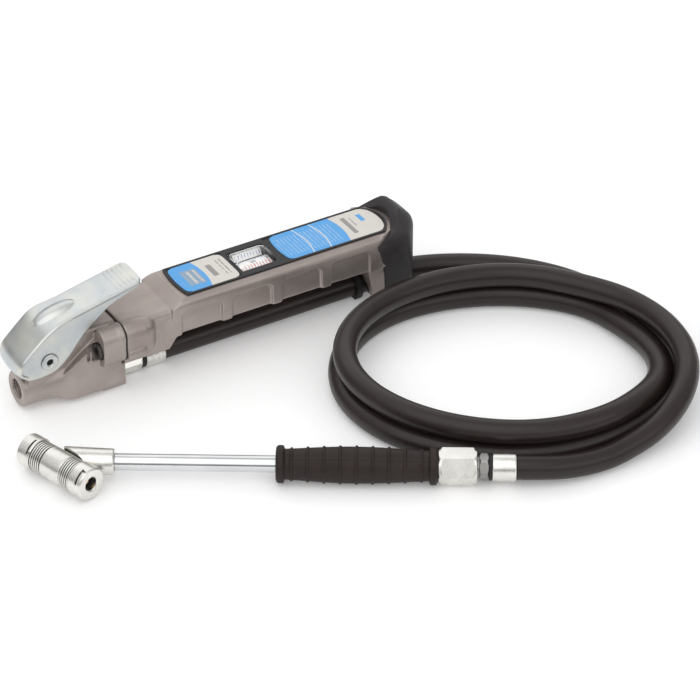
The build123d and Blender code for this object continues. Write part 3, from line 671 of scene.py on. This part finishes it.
def hose():
    route = [Vector(p) for p in HOSE_RUN] + coil_points() + [Vector(p) for p in HOSE_LAST]
    data = bpy.data.curves.new("hose", "CURVE")
    data.dimensions = "3D"
    spline = data.splines.new("NURBS")
    spline.points.add(len(route) - 1)
    for point, spot in zip(spline.points, route):
        point.co = (*(spot * MM), 1)
    spline.order_u = 3
    spline.use_endpoint_u = True
    data.resolution_u = 14
    data.bevel_depth = HOSE_R * MM
    data.bevel_resolution = 10
    data.use_fill_caps = True
    piece = add_object("hose", data)
    settle(piece, ["hose_run", "hose_coil", "hose_end"])


hose()


# --- Castings and buffer ----------------------------------
THREAD_PITCH = 1.337
THREAD_R = 5.72
THREAD_DEPTH = 0.75
THREAD_START, THREAD_END = 0.8, 12.6
BORE_SLACK = 0.45           # how far from THREAD_R a vertex still counts as the bore's wall
BOSS_Y, BOSS_R = 15.8, 7.9
HEAD_RIB_Y, HEAD_RIB_HALF = 15.2, 0.9
CAP_RIB_Y, CAP_RIB_HALF = 20.2, 0.6
CAP_X = 251.0
CAP_SWELL = 0.5 * MM        # in metres, because the normals are scaled up with the points
CAP_DRAW = 0.40


def add_swell(bm, round_x, flat_x, y, z, radius):
    """A bar along x, rounded at one end and flat at the other, that swells out of a boss."""
    way = 1 if round_x > flat_x else -1
    turns = [i * math.pi / 24 for i in range(13)]
    bend = [(round_x - way * radius * (1 - math.cos(a)), radius * math.sin(a)) for a in turns]
    outline = [(flat_x, 0.0), (flat_x, radius)] + bend[::-1]
    turn_profile(bm, outline, INFLATOR @ Matrix.Translation((0, y, z)), 40)


def head_features(bm):
    """A short strengthening rib beside the valves, and the rounded screw boss, on each side."""
    for side in (-1, 1):
        y = side * HEAD_RIB_Y
        add_box(bm, INFLATOR, (41.6, y - HEAD_RIB_HALF, 24), (43.0, y + HEAD_RIB_HALF, 33.5), 0.4)
        add_swell(bm, round_x=52.4, flat_x=61.8, y=side * BOSS_Y, z=39.2, radius=BOSS_R)


def cut_thread(obj):
    """Gives the inlet's bore a thread: its wall steps out and back once a pitch."""
    back = INFLATOR.inverted()
    for vert in obj.data.vertices:
        local = back @ vert.co
        y, z = local.y, local.z - INLET_Z
        r = math.hypot(y, z)
        if THREAD_START < local.x < THREAD_END and abs(r - THREAD_R) < BORE_SLACK:
            phase = (local.x / THREAD_PITCH + math.atan2(z, y) / TAU) % 1.0
            depth = THREAD_DEPTH * (1 - abs(2 * phase - 1))
            grown = (r + depth) / r
            vert.co = INFLATOR @ Vector((local.x, y * grown, INLET_Z + z * grown))


def handle_features(bm):
    """A screw boss and a smaller swell below it, on each side."""
    for side in (-1, 1):
        add_swell(bm, round_x=82.5, flat_x=63.0, y=side * BOSS_Y, z=39.0, radius=BOSS_R)
        add_swell(bm, round_x=77.0, flat_x=63.0, y=side * 20.2, z=27.8, radius=4.2)


def buffer_features(bm):
    """A small raised bar on each flank."""
    for side in (-1, 1):
        y = side * CAP_RIB_Y
        add_box(bm, INFLATOR, (237.8, y - CAP_RIB_HALF, 41.8), (243.0, y + CAP_RIB_HALF, 43.8), 0.2)


def cap_softness(spot):
    """The buffer's rear end is rounder than its front and its foot."""
    return rising(spot.x, 250, 258) * rising(spot.z, 2, 8)


def head_softness(spot):
    """The flanks blend into the nose."""
    return 0.9 * rising(spot.x, 8, 16) * (1 - rising(spot.x, 38, 50)) * (1 - rising(spot.z, 26, 34))


def handle_softness(spot):
    """The finger pockets run out softly at the handle's underside."""
    edge = rising(spot.z, 25, 26) * (1 - rising(spot.z, 28.5, 32))
    return edge * rising(spot.x, 99, 102) * (1 - rising(spot.x, 208, 216))


def dome_cap(obj):
    """Swells the buffer's front lip and draws its top in, so that its rear is a dome."""
    back = INFLATOR.inverted()
    normals = [back.to_3x3() @ normal.vector for normal in obj.data.vertex_normals]
    for vert, normal in zip(obj.data.vertices, normals):
        spot = back @ vert.co
        spot += normal * CAP_SWELL * (1 - rising(spot.x, 236, 244))
        draw = CAP_DRAW * rising(spot.z, 44, 60.5) ** 1.5
        across = 1 - draw * rising(spot.x, 240, CAP_X)
        along = 1 - draw
        x = CAP_X + (spot.x - CAP_X) * along if spot.x > CAP_X else spot.x
        vert.co = INFLATOR @ Vector((x, spot.y * across, spot.z))


head = remelt("valve_head", "valve_body", 0.42, 3, head_features, (head_softness, 26))
cut_thread(head)
remelt("handle_shell", "handle_casting", 0.5, 4, handle_features, (handle_softness, 16))
dome_cap(remelt("rear_cap", "rear_buffer", 0.32, 6, buffer_features, (cap_softness, 40)))


# --- Trigger lever ----------------------------------------
# Side view of the thumb plate's outer face, from the thumb end over the elbow and down the nose.
PLATE_LINE = [
    (79.8, 70.0), (62.0, 66.2), (44.0, 62.3), (30.0, 59.2), (22.0, 57.2), (15.2, 53.9), (8.8, 48.9),
    (3.2, 43.9), (-1.3, 39.4), (-3.5, 35.0), (-3.6, 30.8), (-1.6, 27.2), (1.8, 24.6),
]
# Side view of the cheeks' lower edge, from the nose back to the thumb end.
CHEEK_LINE = [
    (2.4, 24.4), (5.6, 23.8), (10.3, 23.6), (17.0, 24.3), (23.4, 26.6), (30.5, 32.8), (37.4, 41.0),
    (44.0, 47.4), (51.1, 53.0), (57.5, 57.9), (68.0, 62.2), (79.8, 66.4),
]
PLATE_THICK = 1.5
CHEEK_INNER, CHEEK_OUTER = 10.1, 11.7
PIVOT_X, PIVOT_Z = 17.3, 33.0
HOLE_R = 4.15
LINE_STEPS = 8
PLATE_COLUMNS = 28
PLATE_HALF = 12.35
NOSE_FLARE, NOSE_TUCK = 2.3, 2.5
CORNER_PART, CORNER_CUT = 0.035, 3.2
DOME_SIZE = (14.5, 6.6, 4.4)
DOME_X, DOME_Z = 27.5, 56.9
THUMB_RIBS, THUMB_RIB_X, THUMB_RIB_PITCH = 5, 65.0, 2.8
THUMB_RIB_HALF, THUMB_RIB_R, THUMB_RIB_SINK = 9.0, 0.62, 0.1


def flowing(points):
    """A smooth line through the points."""
    points = [Vector(p) for p in points]
    ends = [points[0] * 2 - points[1]] + points + [points[-1] * 2 - points[-2]]
    out = []
    for p0, p1, p2, p3 in zip(ends, ends[1:], ends[2:], ends[3:]):
        square = 2 * p0 - 5 * p1 + 4 * p2 - p3
        cube = 3 * p1 - p0 - 3 * p2 + p3
        for step in range(LINE_STEPS):
            t = step / LINE_STEPS
            out.append(0.5 * (2 * p1 + (p2 - p0) * t + square * t**2 + cube * t**3))
    out.append(points[-1])
    return out


def outward(line, index):
    """The direction that faces out of the plate at one point of its line."""
    way = (line[min(index + 1, len(line) - 1)] - line[max(index - 1, 0)]).normalized()
    return Vector((way.y, -way.x))


def plate_half_width(part):
    """Half the plate's width along its line: flared over the nose, rounded in at the thumb end."""
    flare = PLATE_HALF + NOSE_FLARE * rising(part, 0.42, 0.62) - NOSE_TUCK * rising(part, 0.84, 1.0)
    corner = max(0.0, CORNER_PART - part) / CORNER_PART
    return flare - CORNER_CUT * (1 - math.sqrt(1 - corner**2))


def add_plate(bm):
    """The thumb plate: a crowned sheet with rolled-down edges that follows its side view."""
    line = flowing(PLATE_LINE)
    lengths = [0.0]
    for here, after in zip(line, line[1:]):
        lengths.append(lengths[-1] + (after - here).length)
    loops = []
    for index, spot in enumerate(line):
        out = outward(line, index)
        part = lengths[index] / lengths[-1]
        half = plate_half_width(part)
        crown = 0.35 + 0.9 * rising(part, 0.52, 0.75)
        rows = []
        for lift in (0.0, -PLATE_THICK):
            row = []
            for column in range(PLATE_COLUMNS + 1):
                across = 2 * column / PLATE_COLUMNS - 1
                lip = 0.45 * max(0.0, (abs(across) - 0.9) / 0.1) ** 2
                height = lift + crown * (1 - across**2) - crown * 0.5 - lip
                point = Vector((spot.x + out.x * height, across * half, spot.y + out.y * height))
                row.append(bm.verts.new(INFLATOR @ point))
            rows.append(row)
        loops.append(rows[0] + rows[1][::-1])
    for here, after in zip(loops, loops[1:]):
        wall(bm, here, after)
    bm.faces.new(loops[0])
    bm.faces.new(loops[-1][::-1])


def add_cheeks(bm):
    """The two side walls, each with a hole for the rivet."""
    low = flowing(CHEEK_LINE)
    line = flowing(PLATE_LINE)
    high = [spot - 0.8 * outward(line, index) for index, spot in enumerate(line)]
    outline = low + [p for p in high if p.y > 26 and p.x < 79.5]
    hole = [
        Vector((PIVOT_X + HOLE_R * math.cos(TAU * i / 32), PIVOT_Z + HOLE_R * math.sin(TAU * i / 32)))
        for i in range(32)
    ]
    for side in (-1, 1):
        walls = []
        for y in (side * CHEEK_INNER, side * CHEEK_OUTER):
            loops = []
            for loop in (outline, hole):
                loops.append([bm.verts.new(INFLATOR @ Vector((p.x, y, p.y))) for p in loop])
            edges = [bm.edges.new((loop[i], loop[i - 1])) for loop in loops for i in range(len(loop))]
            bmesh.ops.triangle_fill(bm, use_beauty=True, use_dissolve=False, edges=edges)
            walls.append(loops)
        for near, far in zip(*walls):
            wall(bm, near, far)


def lever():
    """A pressed-steel channel: thumb plate with a raised dome at the elbow and grip ribs."""
    bm = bmesh.new()
    add_plate(bm)
    add_cheeks(bm)
    end_x, end_z = PLATE_LINE[0]
    low_x, low_z = PLATE_LINE[3]
    slope = math.atan2(end_z - low_z, end_x - low_x)
    dome = bmesh.ops.create_uvsphere(bm, u_segments=48, v_segments=24, radius=1)["verts"]
    stretch = Matrix.Diagonal((*DOME_SIZE, 1))
    tilt = Matrix.Translation((DOME_X, 0, DOME_Z)) @ Matrix.Rotation(-slope * 1.25, 4, "Y")
    bmesh.ops.transform(bm, matrix=INFLATOR @ tilt @ stretch, verts=dome)
    for rib in range(THUMB_RIBS):
        x = THUMB_RIB_X + THUMB_RIB_PITCH * rib
        z = end_z - (end_x - x) * math.tan(slope) - THUMB_RIB_SINK
        add_capsule(bm, INFLATOR, (x, -THUMB_RIB_HALF, z), (x, THUMB_RIB_HALF, z), THUMB_RIB_R, 12)
    bmesh.ops.recalc_face_normals(bm, faces=bm.faces)
    mesh = eased_skin(bm, "lever", 0.36, 3)
    mesh.shade_smooth()
    settle(add_object("lever", mesh), ["trigger_lever"], body="trigger")


lever()


# --- Rivet and outlet fitting -----------------------------
PIVOT = INFLATOR @ Matrix.Translation((PIVOT_X, 0, PIVOT_Z)) @ Matrix.Rotation(math.pi / 2, 4, "Z")


def rivet():
    """A tubular rivet: rolled-over rims at both ends round a dark hole."""
    rim = [
        (11.0, 4.0), (11.86, 4.0), (11.9, 5.3), (12.3, 5.5), (12.8, 4.9), (13.0, 3.6), (12.9, 2.6),
        (12.2, 2.0),
    ]
    outer = soften(rim, 0.5)
    hole = [Vector((x, 1.9)) for x in (8.0, 0, -8.0)]
    mirror = [Vector((-x, r)) for x, r in reversed(outer)]
    profile = outer + hole + mirror
    profile.append(profile[0])
    turned("lever_rivet", profile, PIVOT, ["trigger_rivet"])


rivet()

OUTLET_FLATS = 15.6
HEX_OUTLET = [
    (54, 2.8), (54, 6.5), (65.6, 6.5), (66.0, 7.6), (66.1, 8.1), (67.2, 9.0), (78.8, 9.0), (79.9, 8.1),
    (80.0, 7.4), (80.1, 5.2), (84.8, 5.2), (84.8, 2.8), (54, 2.8),
]
HUB_R = 5.3
WASHER_R = 7.9


def ring(name, profile, matrix, nodes, size, **rest):
    """A turned piece whose corners are rounded by size."""
    turned(name, soften(profile, size), matrix, nodes, **rest)


def tube(x0, x1, bore, outer):
    return [(x0, bore), (x0, outer), (x1, outer), (x1, bore), (x0, bore)]


def moved(matrix, x):
    return matrix @ Matrix.Translation((x, 0, 0))


def crimped(length, outer, marks):
    """A swaged ferrule over the hose, with shallow rolled grooves and turned-in ends."""
    bore = HOSE_R + 0.03
    outline = [(0.0, HUB_R), (0.0, outer - 0.5), (0.5, outer)]
    for mark in marks:
        outline += [(mark - 0.7, outer), (mark, outer - 0.32), (mark + 0.7, outer)]
    outline += [(length - 0.6, outer), (length, outer - 0.35), (length, bore), (1.2, bore)]
    return outline + [(1.2, HUB_R), (0.0, HUB_R)]


hexagonal = hexagon(OUTLET_FLATS)
ring("outlet_hex", HEX_OUTLET, LOW_AXIS, ["outlet_adaptor"], 0.3, shape=hexagonal, angle=32)
ring("outlet_ring", tube(0.05, 2.45, HUB_R, WASHER_R), moved(LOW_AXIS, 80.2), ["outlet_washer"], 0.6)
ring("outlet_sleeve", crimped(12.9, 8.5, (4.6, 8.6)), moved(LOW_AXIS, 82.8), ["outlet_ferrule"], 0.25)


# --- Label, window and scale ------------------------------
LABEL_Z = 51.52
LABEL_HALF = 14.3
LABEL_THICK = 0.3
LABEL_CORNER = 3.2


def label_end(x, bow, way):
    """One end's points from y = -half to +half; way is -1 at the front and 1 at the rear."""
    points = []
    for step in range(25):
        y = LABEL_HALF * (step / 12 - 1)
        past = max(0.0, abs(y) - LABEL_HALF + LABEL_CORNER)
        lost = LABEL_CORNER - math.sqrt(max(0.0, LABEL_CORNER**2 - past**2))
        points.append((x + way * (bow * (1 - (y / LABEL_HALF) ** 2) - lost), y))
    return points


def label(name, x0, x1, bow0, bow1, node):
    """A printed label: bowed ends with rounded corners."""
    outline = label_end(x1, bow1, 1) + label_end(x0, bow0, -1)[::-1]
    bm = bmesh.new()
    top = [bm.verts.new(INFLATOR @ Vector((x, y, LABEL_Z + LABEL_THICK))) for x, y in outline]
    foot = [bm.verts.new(INFLATOR @ Vector((x, y, LABEL_Z))) for x, y in outline]
    bm.faces.new(top)
    bm.faces.new(foot[::-1])
    wall(bm, foot, top)
    settle(from_bmesh(name, bm), [node])


label("front_print", 109.4, 144.6, 1.5, 1.2, "front_label")
label("rear_print", 179.6, 245.4, 1.8, 4.2, "rear_label")


WINDOW_X0, WINDOW_X1 = 148.3, 171.7
WINDOW_HALF = 10.8
WINDOW_R = 17.0
WINDOW_RISE = 38.4
WINDOW_THICK = 1.1
WINDOW_FOOT = 50.9
WINDOW_ROLL, WINDOW_ROLL_ROWS = 1.2, 3
WINDOW_ROWS, WINDOW_COLUMNS = 24, 32


def lens():
    """A thin domed window with rolled-down ends."""
    bm = bmesh.new()
    sheets = []
    for sink in (0.0, WINDOW_THICK):
        sheet = []
        for row in range(WINDOW_ROWS + 1):
            x = WINDOW_X0 + (WINDOW_X1 - WINDOW_X0) * row / WINDOW_ROWS
            to_end = min(row, WINDOW_ROWS - row)
            drop = WINDOW_ROLL * (1 - min(1, to_end / WINDOW_ROLL_ROWS)) ** 2
            line = []
            for column in range(WINDOW_COLUMNS + 1):
                y = WINDOW_HALF * (2 * column / WINDOW_COLUMNS - 1)
                z = WINDOW_RISE + math.sqrt(WINDOW_R**2 - y * y) - drop
                line.append(bm.verts.new(INFLATOR @ Vector((x, y, max(z, WINDOW_FOOT) - sink))))
            sheet.append(line)
        sheets.append(sheet)
    for sheet in sheets:
        for here, after in zip(sheet, sheet[1:]):
            for index in range(WINDOW_COLUMNS):
                bm.faces.new((here[index], after[index], after[index + 1], here[index + 1]))
    rims = []
    for sheet in sheets:
        right, left = [line[-1] for line in sheet[1:-1]], [line[0] for line in sheet[-2:0:-1]]
        rims.append(sheet[0] + right + sheet[-1][::-1] + left)
    wall(bm, *rims)
    settle(from_bmesh("window", bm, 60), ["gauge_lens"])


# One cheek's end view, as y and z.
LINER = [(10.6, 50.6), (7.6, 46.1), (8.1, 45.8), (10.6, 49.6)]
LINER_GAP = 0.3


def liner():
    """White sloping cheeks beside the scale, under the window."""
    bm = bmesh.new()
    for side in (-1, 1):
        ends = []
        for x in (WINDOW_X0 + LINER_GAP, WINDOW_X1 - LINER_GAP):
            ends.append([bm.verts.new(INFLATOR @ Vector((x, side * y, z))) for y, z in LINER])
            bm.faces.new(ends[-1])
        wall(bm, *ends)
    bmesh.ops.recalc_face_normals(bm, faces=bm.faces)
    bmesh.ops.bevel(bm, geom=bm.edges[:], offset=0.12 * MM, segments=2, affect="EDGES")
    settle(from_bmesh("window_liner", bm), [], slot="scale_print")


lens()
liner()


def barrel():
    outline = [
        (115, 8.3), (115, 8.8), (115.4, 9.2), (180.2, 9.2), (181, 8.6), (181, 2.0), (178.6, 2.0),
        (178.6, 8.3), (115, 8.3),
    ]
    ring("scale_barrel", outline, GAUGE_AXIS, ["gauge_scale_barrel"], 0.3, body="gauge_piston_group")


NUMBER_SIZE = 3.4
NUMBER_R = 9.24             # just outside the barrel
NUMBER_X, NUMBER_PITCH = 120, 10
NUMBER_COUNT, NUMBER_STEP = 6, 20


def barrel_number(text, x):
    """A number printed on the barrel: flat lettering bent round it."""
    data = bpy.data.curves.new("number_" + text, "FONT")
    data.body = text
    data.size = NUMBER_SIZE
    data.align_x = "CENTER"
    data.align_y = "CENTER"
    mesh = baked(add_object("number_flat", data), data.name)
    for vert in mesh.vertices:
        angle = vert.co.y / NUMBER_R
        spot = Vector((x + vert.co.x, NUMBER_R * math.sin(angle), NUMBER_R * math.cos(angle)))
        vert.co = GAUGE_AXIS @ spot
    piece = add_object("scale_number_" + text, mesh)
    settle(piece, [], body="gauge_piston_group", slot="scale_print", finish=FINISH["seal_rubber"])


barrel()
for index in range(NUMBER_COUNT):
    barrel_number(str(NUMBER_STEP * (index + 1)), NUMBER_X + NUMBER_PITCH * index)


# --- Lance ------------------------------------------------
ring("lance_pipe", tube(24, 214, 3.7, 5.0), LANCE, ["lance_tube"], 0.25)

GRIP_X0, GRIP_X1 = 123.3, 215.8
GRIP_BORE, GRIP_END_R = 5.06, 9.4
GRIP_STEPS = 420
RIB_FIRST, RIB_PITCH, RIB_COUNT = GRIP_X0 + 8.8, 9.3, 9
RIB_HALF, RIB_RISE = 0.85, 0.75
FLANGE_R, FLANGE_LONG = 10.95, 5.4
SEAM_RISE, SEAM_HALF = 0.4, 0.8
SEAM_LEAN = -55


def grip_radius(x):
    """The grip's radius at x: a long swell with raised rings, and a flange at each end."""
    part = (x - GRIP_X0) / (GRIP_X1 - GRIP_X0)
    r = 8.7 + 1.9 * max(0.0, math.sin(math.pi * min(1.0, part / 0.98))) ** 1.4
    for rib in range(RIB_COUNT):
        off = abs(x - RIB_FIRST - rib * RIB_PITCH)
        if off < RIB_HALF:
            r += RIB_RISE * math.sqrt(1 - (off / RIB_HALF) ** 2)
    to_end = min(x - GRIP_X0, GRIP_X1 - x)
    flange = FLANGE_R - 1.5 * max(0.0, 1 - to_end / 1.5) ** 2
    return r + (flange - r) * rising(FLANGE_LONG - to_end, 0, 1.4)


def mould_line(x, r, angle):
    """Radius rule: a fine raised seam along both sides of the grip."""
    if r < GRIP_END_R - 1.4:
        return r
    seam = min(abs(angle - side * math.pi / 2) for side in (1, 3))
    return r + SEAM_RISE * max(0.0, 1 - seam * r / SEAM_HALF)


def grip():
    profile = [Vector((GRIP_X0, GRIP_BORE)), Vector((GRIP_X0, GRIP_END_R))]
    for index in range(GRIP_STEPS + 1):
        x = GRIP_X0 + (GRIP_X1 - GRIP_X0) * index / GRIP_STEPS
        profile.append(Vector((x, grip_radius(x))))
    profile += [Vector(p) for p in ((GRIP_X1, GRIP_END_R), (GRIP_X1, GRIP_BORE), (GRIP_X0, GRIP_BORE))]
    lean = LANCE @ Matrix.Rotation(math.radians(SEAM_LEAN), 4, "X")
    turned("grip", profile, lean, ["lance_grip"], sides=144, shape=mould_line, angle=55)


grip()

COUPLER_FLATS = 19.0
COUPLER = [
    (215.9, 5.1), (215.9, 9.0), (216.1, 9.4), (218.2, 10.97), (236.2, 10.97), (237.8, 9.6), (238.2, 9.2),
    (238.2, 6.7), (230, 6.7), (230, 5.1), (215.9, 5.1),
]
hexagonal = hexagon(COUPLER_FLATS)
ring("lance_hex", COUPLER, LANCE, ["lance_coupler"], 0.4, shape=hexagonal, angle=30)
TAIL_FLATS = 14.0
TAIL_HEX = [
    (229, 2.8), (229, 6.5), (239.4, 6.5), (239.6, 7.0), (240.4, 8.0), (243.9, 8.0), (244.7, 7.0),
    (244.8, 5.2), (248.6, 5.2), (259, 4.75), (259, 2.8), (229, 2.8),
]
hexagonal = hexagon(TAIL_FLATS)
ring("tail_hex", TAIL_HEX, LANCE, ["lance_hose_tail"], 0.25, shape=hexagonal, angle=30, finish=SMALL_HEX)
ring("lance_ring", tube(0.05, 1.85, HUB_R, WASHER_R), moved(LANCE, 244.8), ["lance_washer"], 0.5)
ring("lance_sleeve", crimped(13.7, 8.25, ()), moved(LANCE, 246.8), ["lance_ferrule"], 0.3)


# --- Two-ended chuck --------------------------------------
CHUCK_RIBS, CHUCK_RIB_X, CHUCK_RIB_PITCH = 5, 8.8, 1.55
CHUCK_RIB_R, CHUCK_GROOVE_R = 9.4, 8.0
BOSS_CUT = 7.9              # from the chuck's axis to the boss's cut face
BOSS = [(2, 2.8), (2, 8.75), (30.2, 7.7), (31, 7.0), (31, 5.03), (24, 5.03), (24, 2.8), (2, 2.8)]


def chuck_profile():
    """The barrel's outline: ribbed bands outside and stepped bores."""
    half = [(0, 9.6), (7.0, 9.6), (7.3, 9.3)]
    for index in range(CHUCK_RIBS):
        x = CHUCK_RIB_X + CHUCK_RIB_PITCH * index
        half += [(x - 0.62, CHUCK_GROOVE_R), (x - 0.42, CHUCK_RIB_R)]
        half += [(x + 0.42, CHUCK_RIB_R), (x + 0.62, CHUCK_GROOVE_R)]
    half += [(15.85, CHUCK_GROOVE_R), (21.9, 8.3), (21.9, 6.2), (14.4, 6.2), (14.4, 5.0)]
    half += [(7.0, 5.0), (7.0, 2.8), (0, 2.8)]
    outer = soften(half, 0.15)
    return [Vector((-v.x, v.y)) for v in reversed(outer)][:-1] + outer


def add_boss(bm):
    """The boss that holds the lance's tube, cut off flat just inside the barrel."""
    boss = bmesh.new()
    turn_profile(boss, soften(BOSS, 0.5), LANCE, 96)
    across = CHUCK.to_3x3().normalized() @ Vector((0, 1, 0))
    if across.dot(LANCE.to_3x3() @ Vector((1, 0, 0))) < 0:
        across = -across
    cut = CHUCK.translation + across * BOSS_CUT * MM
    geometry = boss.verts[:] + boss.edges[:] + boss.faces[:]
    result = bmesh.ops.bisect_plane(boss, geom=geometry, plane_co=cut, plane_no=across, clear_inner=True)
    rim = [e for e in result["geom_cut"] if isinstance(e, bmesh.types.BMEdge)]
    bmesh.ops.edgeloop_fill(boss, edges=rim)
    spare = bpy.data.meshes.new("boss")
    boss.to_mesh(spare)
    boss.free()
    bm.from_mesh(spare)


def chuck_barrel():
    bm = bmesh.new()
    turn_profile(bm, chuck_profile(), CHUCK, 120)
    add_boss(bm)
    settle(from_bmesh("chuck_barrel", bm, 34), ["chuck_body"])


chuck_barrel()

SLOTS = 3
SLOT_DEPTH = 1.5
SLOT_HALF = 0.5
SLOT_REACH = 5.2
STEM_IN = 1.2               # from a bar's end to its stem
SLEEVE_SKIN = 9.3           # smaller radii belong to the sleeve's ends and bore, which stay plain
SLEEVE = [
    (15.9, 8.5), (15.9, 9.7), (16.3, 10.1), (24.9, 10.1), (25.8, 9.2), (25.8, 5.2), (25.2, 4.2), (22.1, 4.2),
    (22.1, 8.4), (15.9, 8.5),
]


def slotted(bar, stem_start, stem_end):
    """A shape that sinks slots into a sleeve: each a bar round it, with a stem along it at one end."""
    def shape(x, r, angle):
        if r < SLEEVE_SKIN:
            return r
        off = ((angle / TAU * SLOTS) % 1.0 - 0.5) * TAU / SLOTS * r
        on_bar = abs(x - bar) < SLOT_HALF and abs(off) < SLOT_REACH
        on_stem = stem_start < x < stem_end and abs(off - SLOT_REACH + STEM_IN) < SLOT_HALF
        return r - SLOT_DEPTH if on_bar or on_stem else r
    return shape


def chuck_sleeves():
    """The sleeve at each end, with its own lean and slots."""
    bm = bmesh.new()
    near_end = (0, -18, slotted(22.2, 22.2, 24.6))
    far_end = (math.pi, 30, slotted(18.2, 15.9, 18.2))
    for turn, lean, shape in (near_end, far_end):
        way = CHUCK @ Matrix.Rotation(turn, 4, "Z") @ Matrix.Rotation(math.radians(lean), 4, "X")
        turn_profile(bm, dense(soften(SLEEVE, 0.3), 0.25), way, 240, shape)
    settle(from_bmesh("chuck_sleeves", bm, 34), ["chuck_nuts"])


chuck_sleeves()


# --- Floor and light --------------------------------------
def floor():
    bm = bmesh.new()
    bmesh.ops.create_grid(bm, x_segments=8, y_segments=8, size=6.0)
    obj = from_bmesh("floor", bm)
    obj.data.materials.append(floor_paint())


LIGHT_AIM = Vector((0.06, 0.03, 0.03))


def soft_light(name, spot, size, power):
    data = bpy.data.lights.new(name, "AREA")
    data.shape = "RECTANGLE"
    data.size, data.size_y = size
    data.energy = power
    obj = bpy.data.objects.new(name, data)
    obj.location = spot
    obj.rotation_euler = (LIGHT_AIM - Vector(spot)).to_track_quat("-Z", "Y").to_euler()
    bpy.context.scene.collection.objects.link(obj)


def sky():
    """A studio sky: white overhead, grey lower down and dark at the horizon and below."""
    world = bpy.data.worlds.new("studio")
    world.use_nodes = True
    bpy.context.scene.world = world
    tree = world.node_tree
    where = tree.nodes.new("ShaderNodeTexCoord")
    parts = tree.nodes.new("ShaderNodeSeparateXYZ")
    tree.links.new(where.outputs["Generated"], parts.inputs[0])
    ramp = tree.nodes.new("ShaderNodeValToRGB")
    low, high = ramp.color_ramp.elements
    low.position, low.color = 0.02, (0.07, 0.06, 0.06, 1)
    high.position, high.color = 0.6, (1, 1, 1, 1)
    ramp.color_ramp.elements.new(0.2).color = (0.55, 0.54, 0.53, 1)
    tree.links.new(parts.outputs[2], ramp.inputs[0])
    back = tree.nodes["Background"]
    tree.links.new(ramp.outputs[0], back.inputs["Color"])
    back.inputs["Strength"].default_value = 0.72


floor()
sky()
soft_light("key", (-0.9, -0.5, 1.6), (2.4, 2.4), 15)
soft_light("back", (0.6, 1.7, 1.5), (3.2, 2.0), 11)
soft_light("front", (0.5, -1.7, 0.9), (2.0, 0.8), 5)
bpy.context.scene.view_settings.view_transform = "Standard"
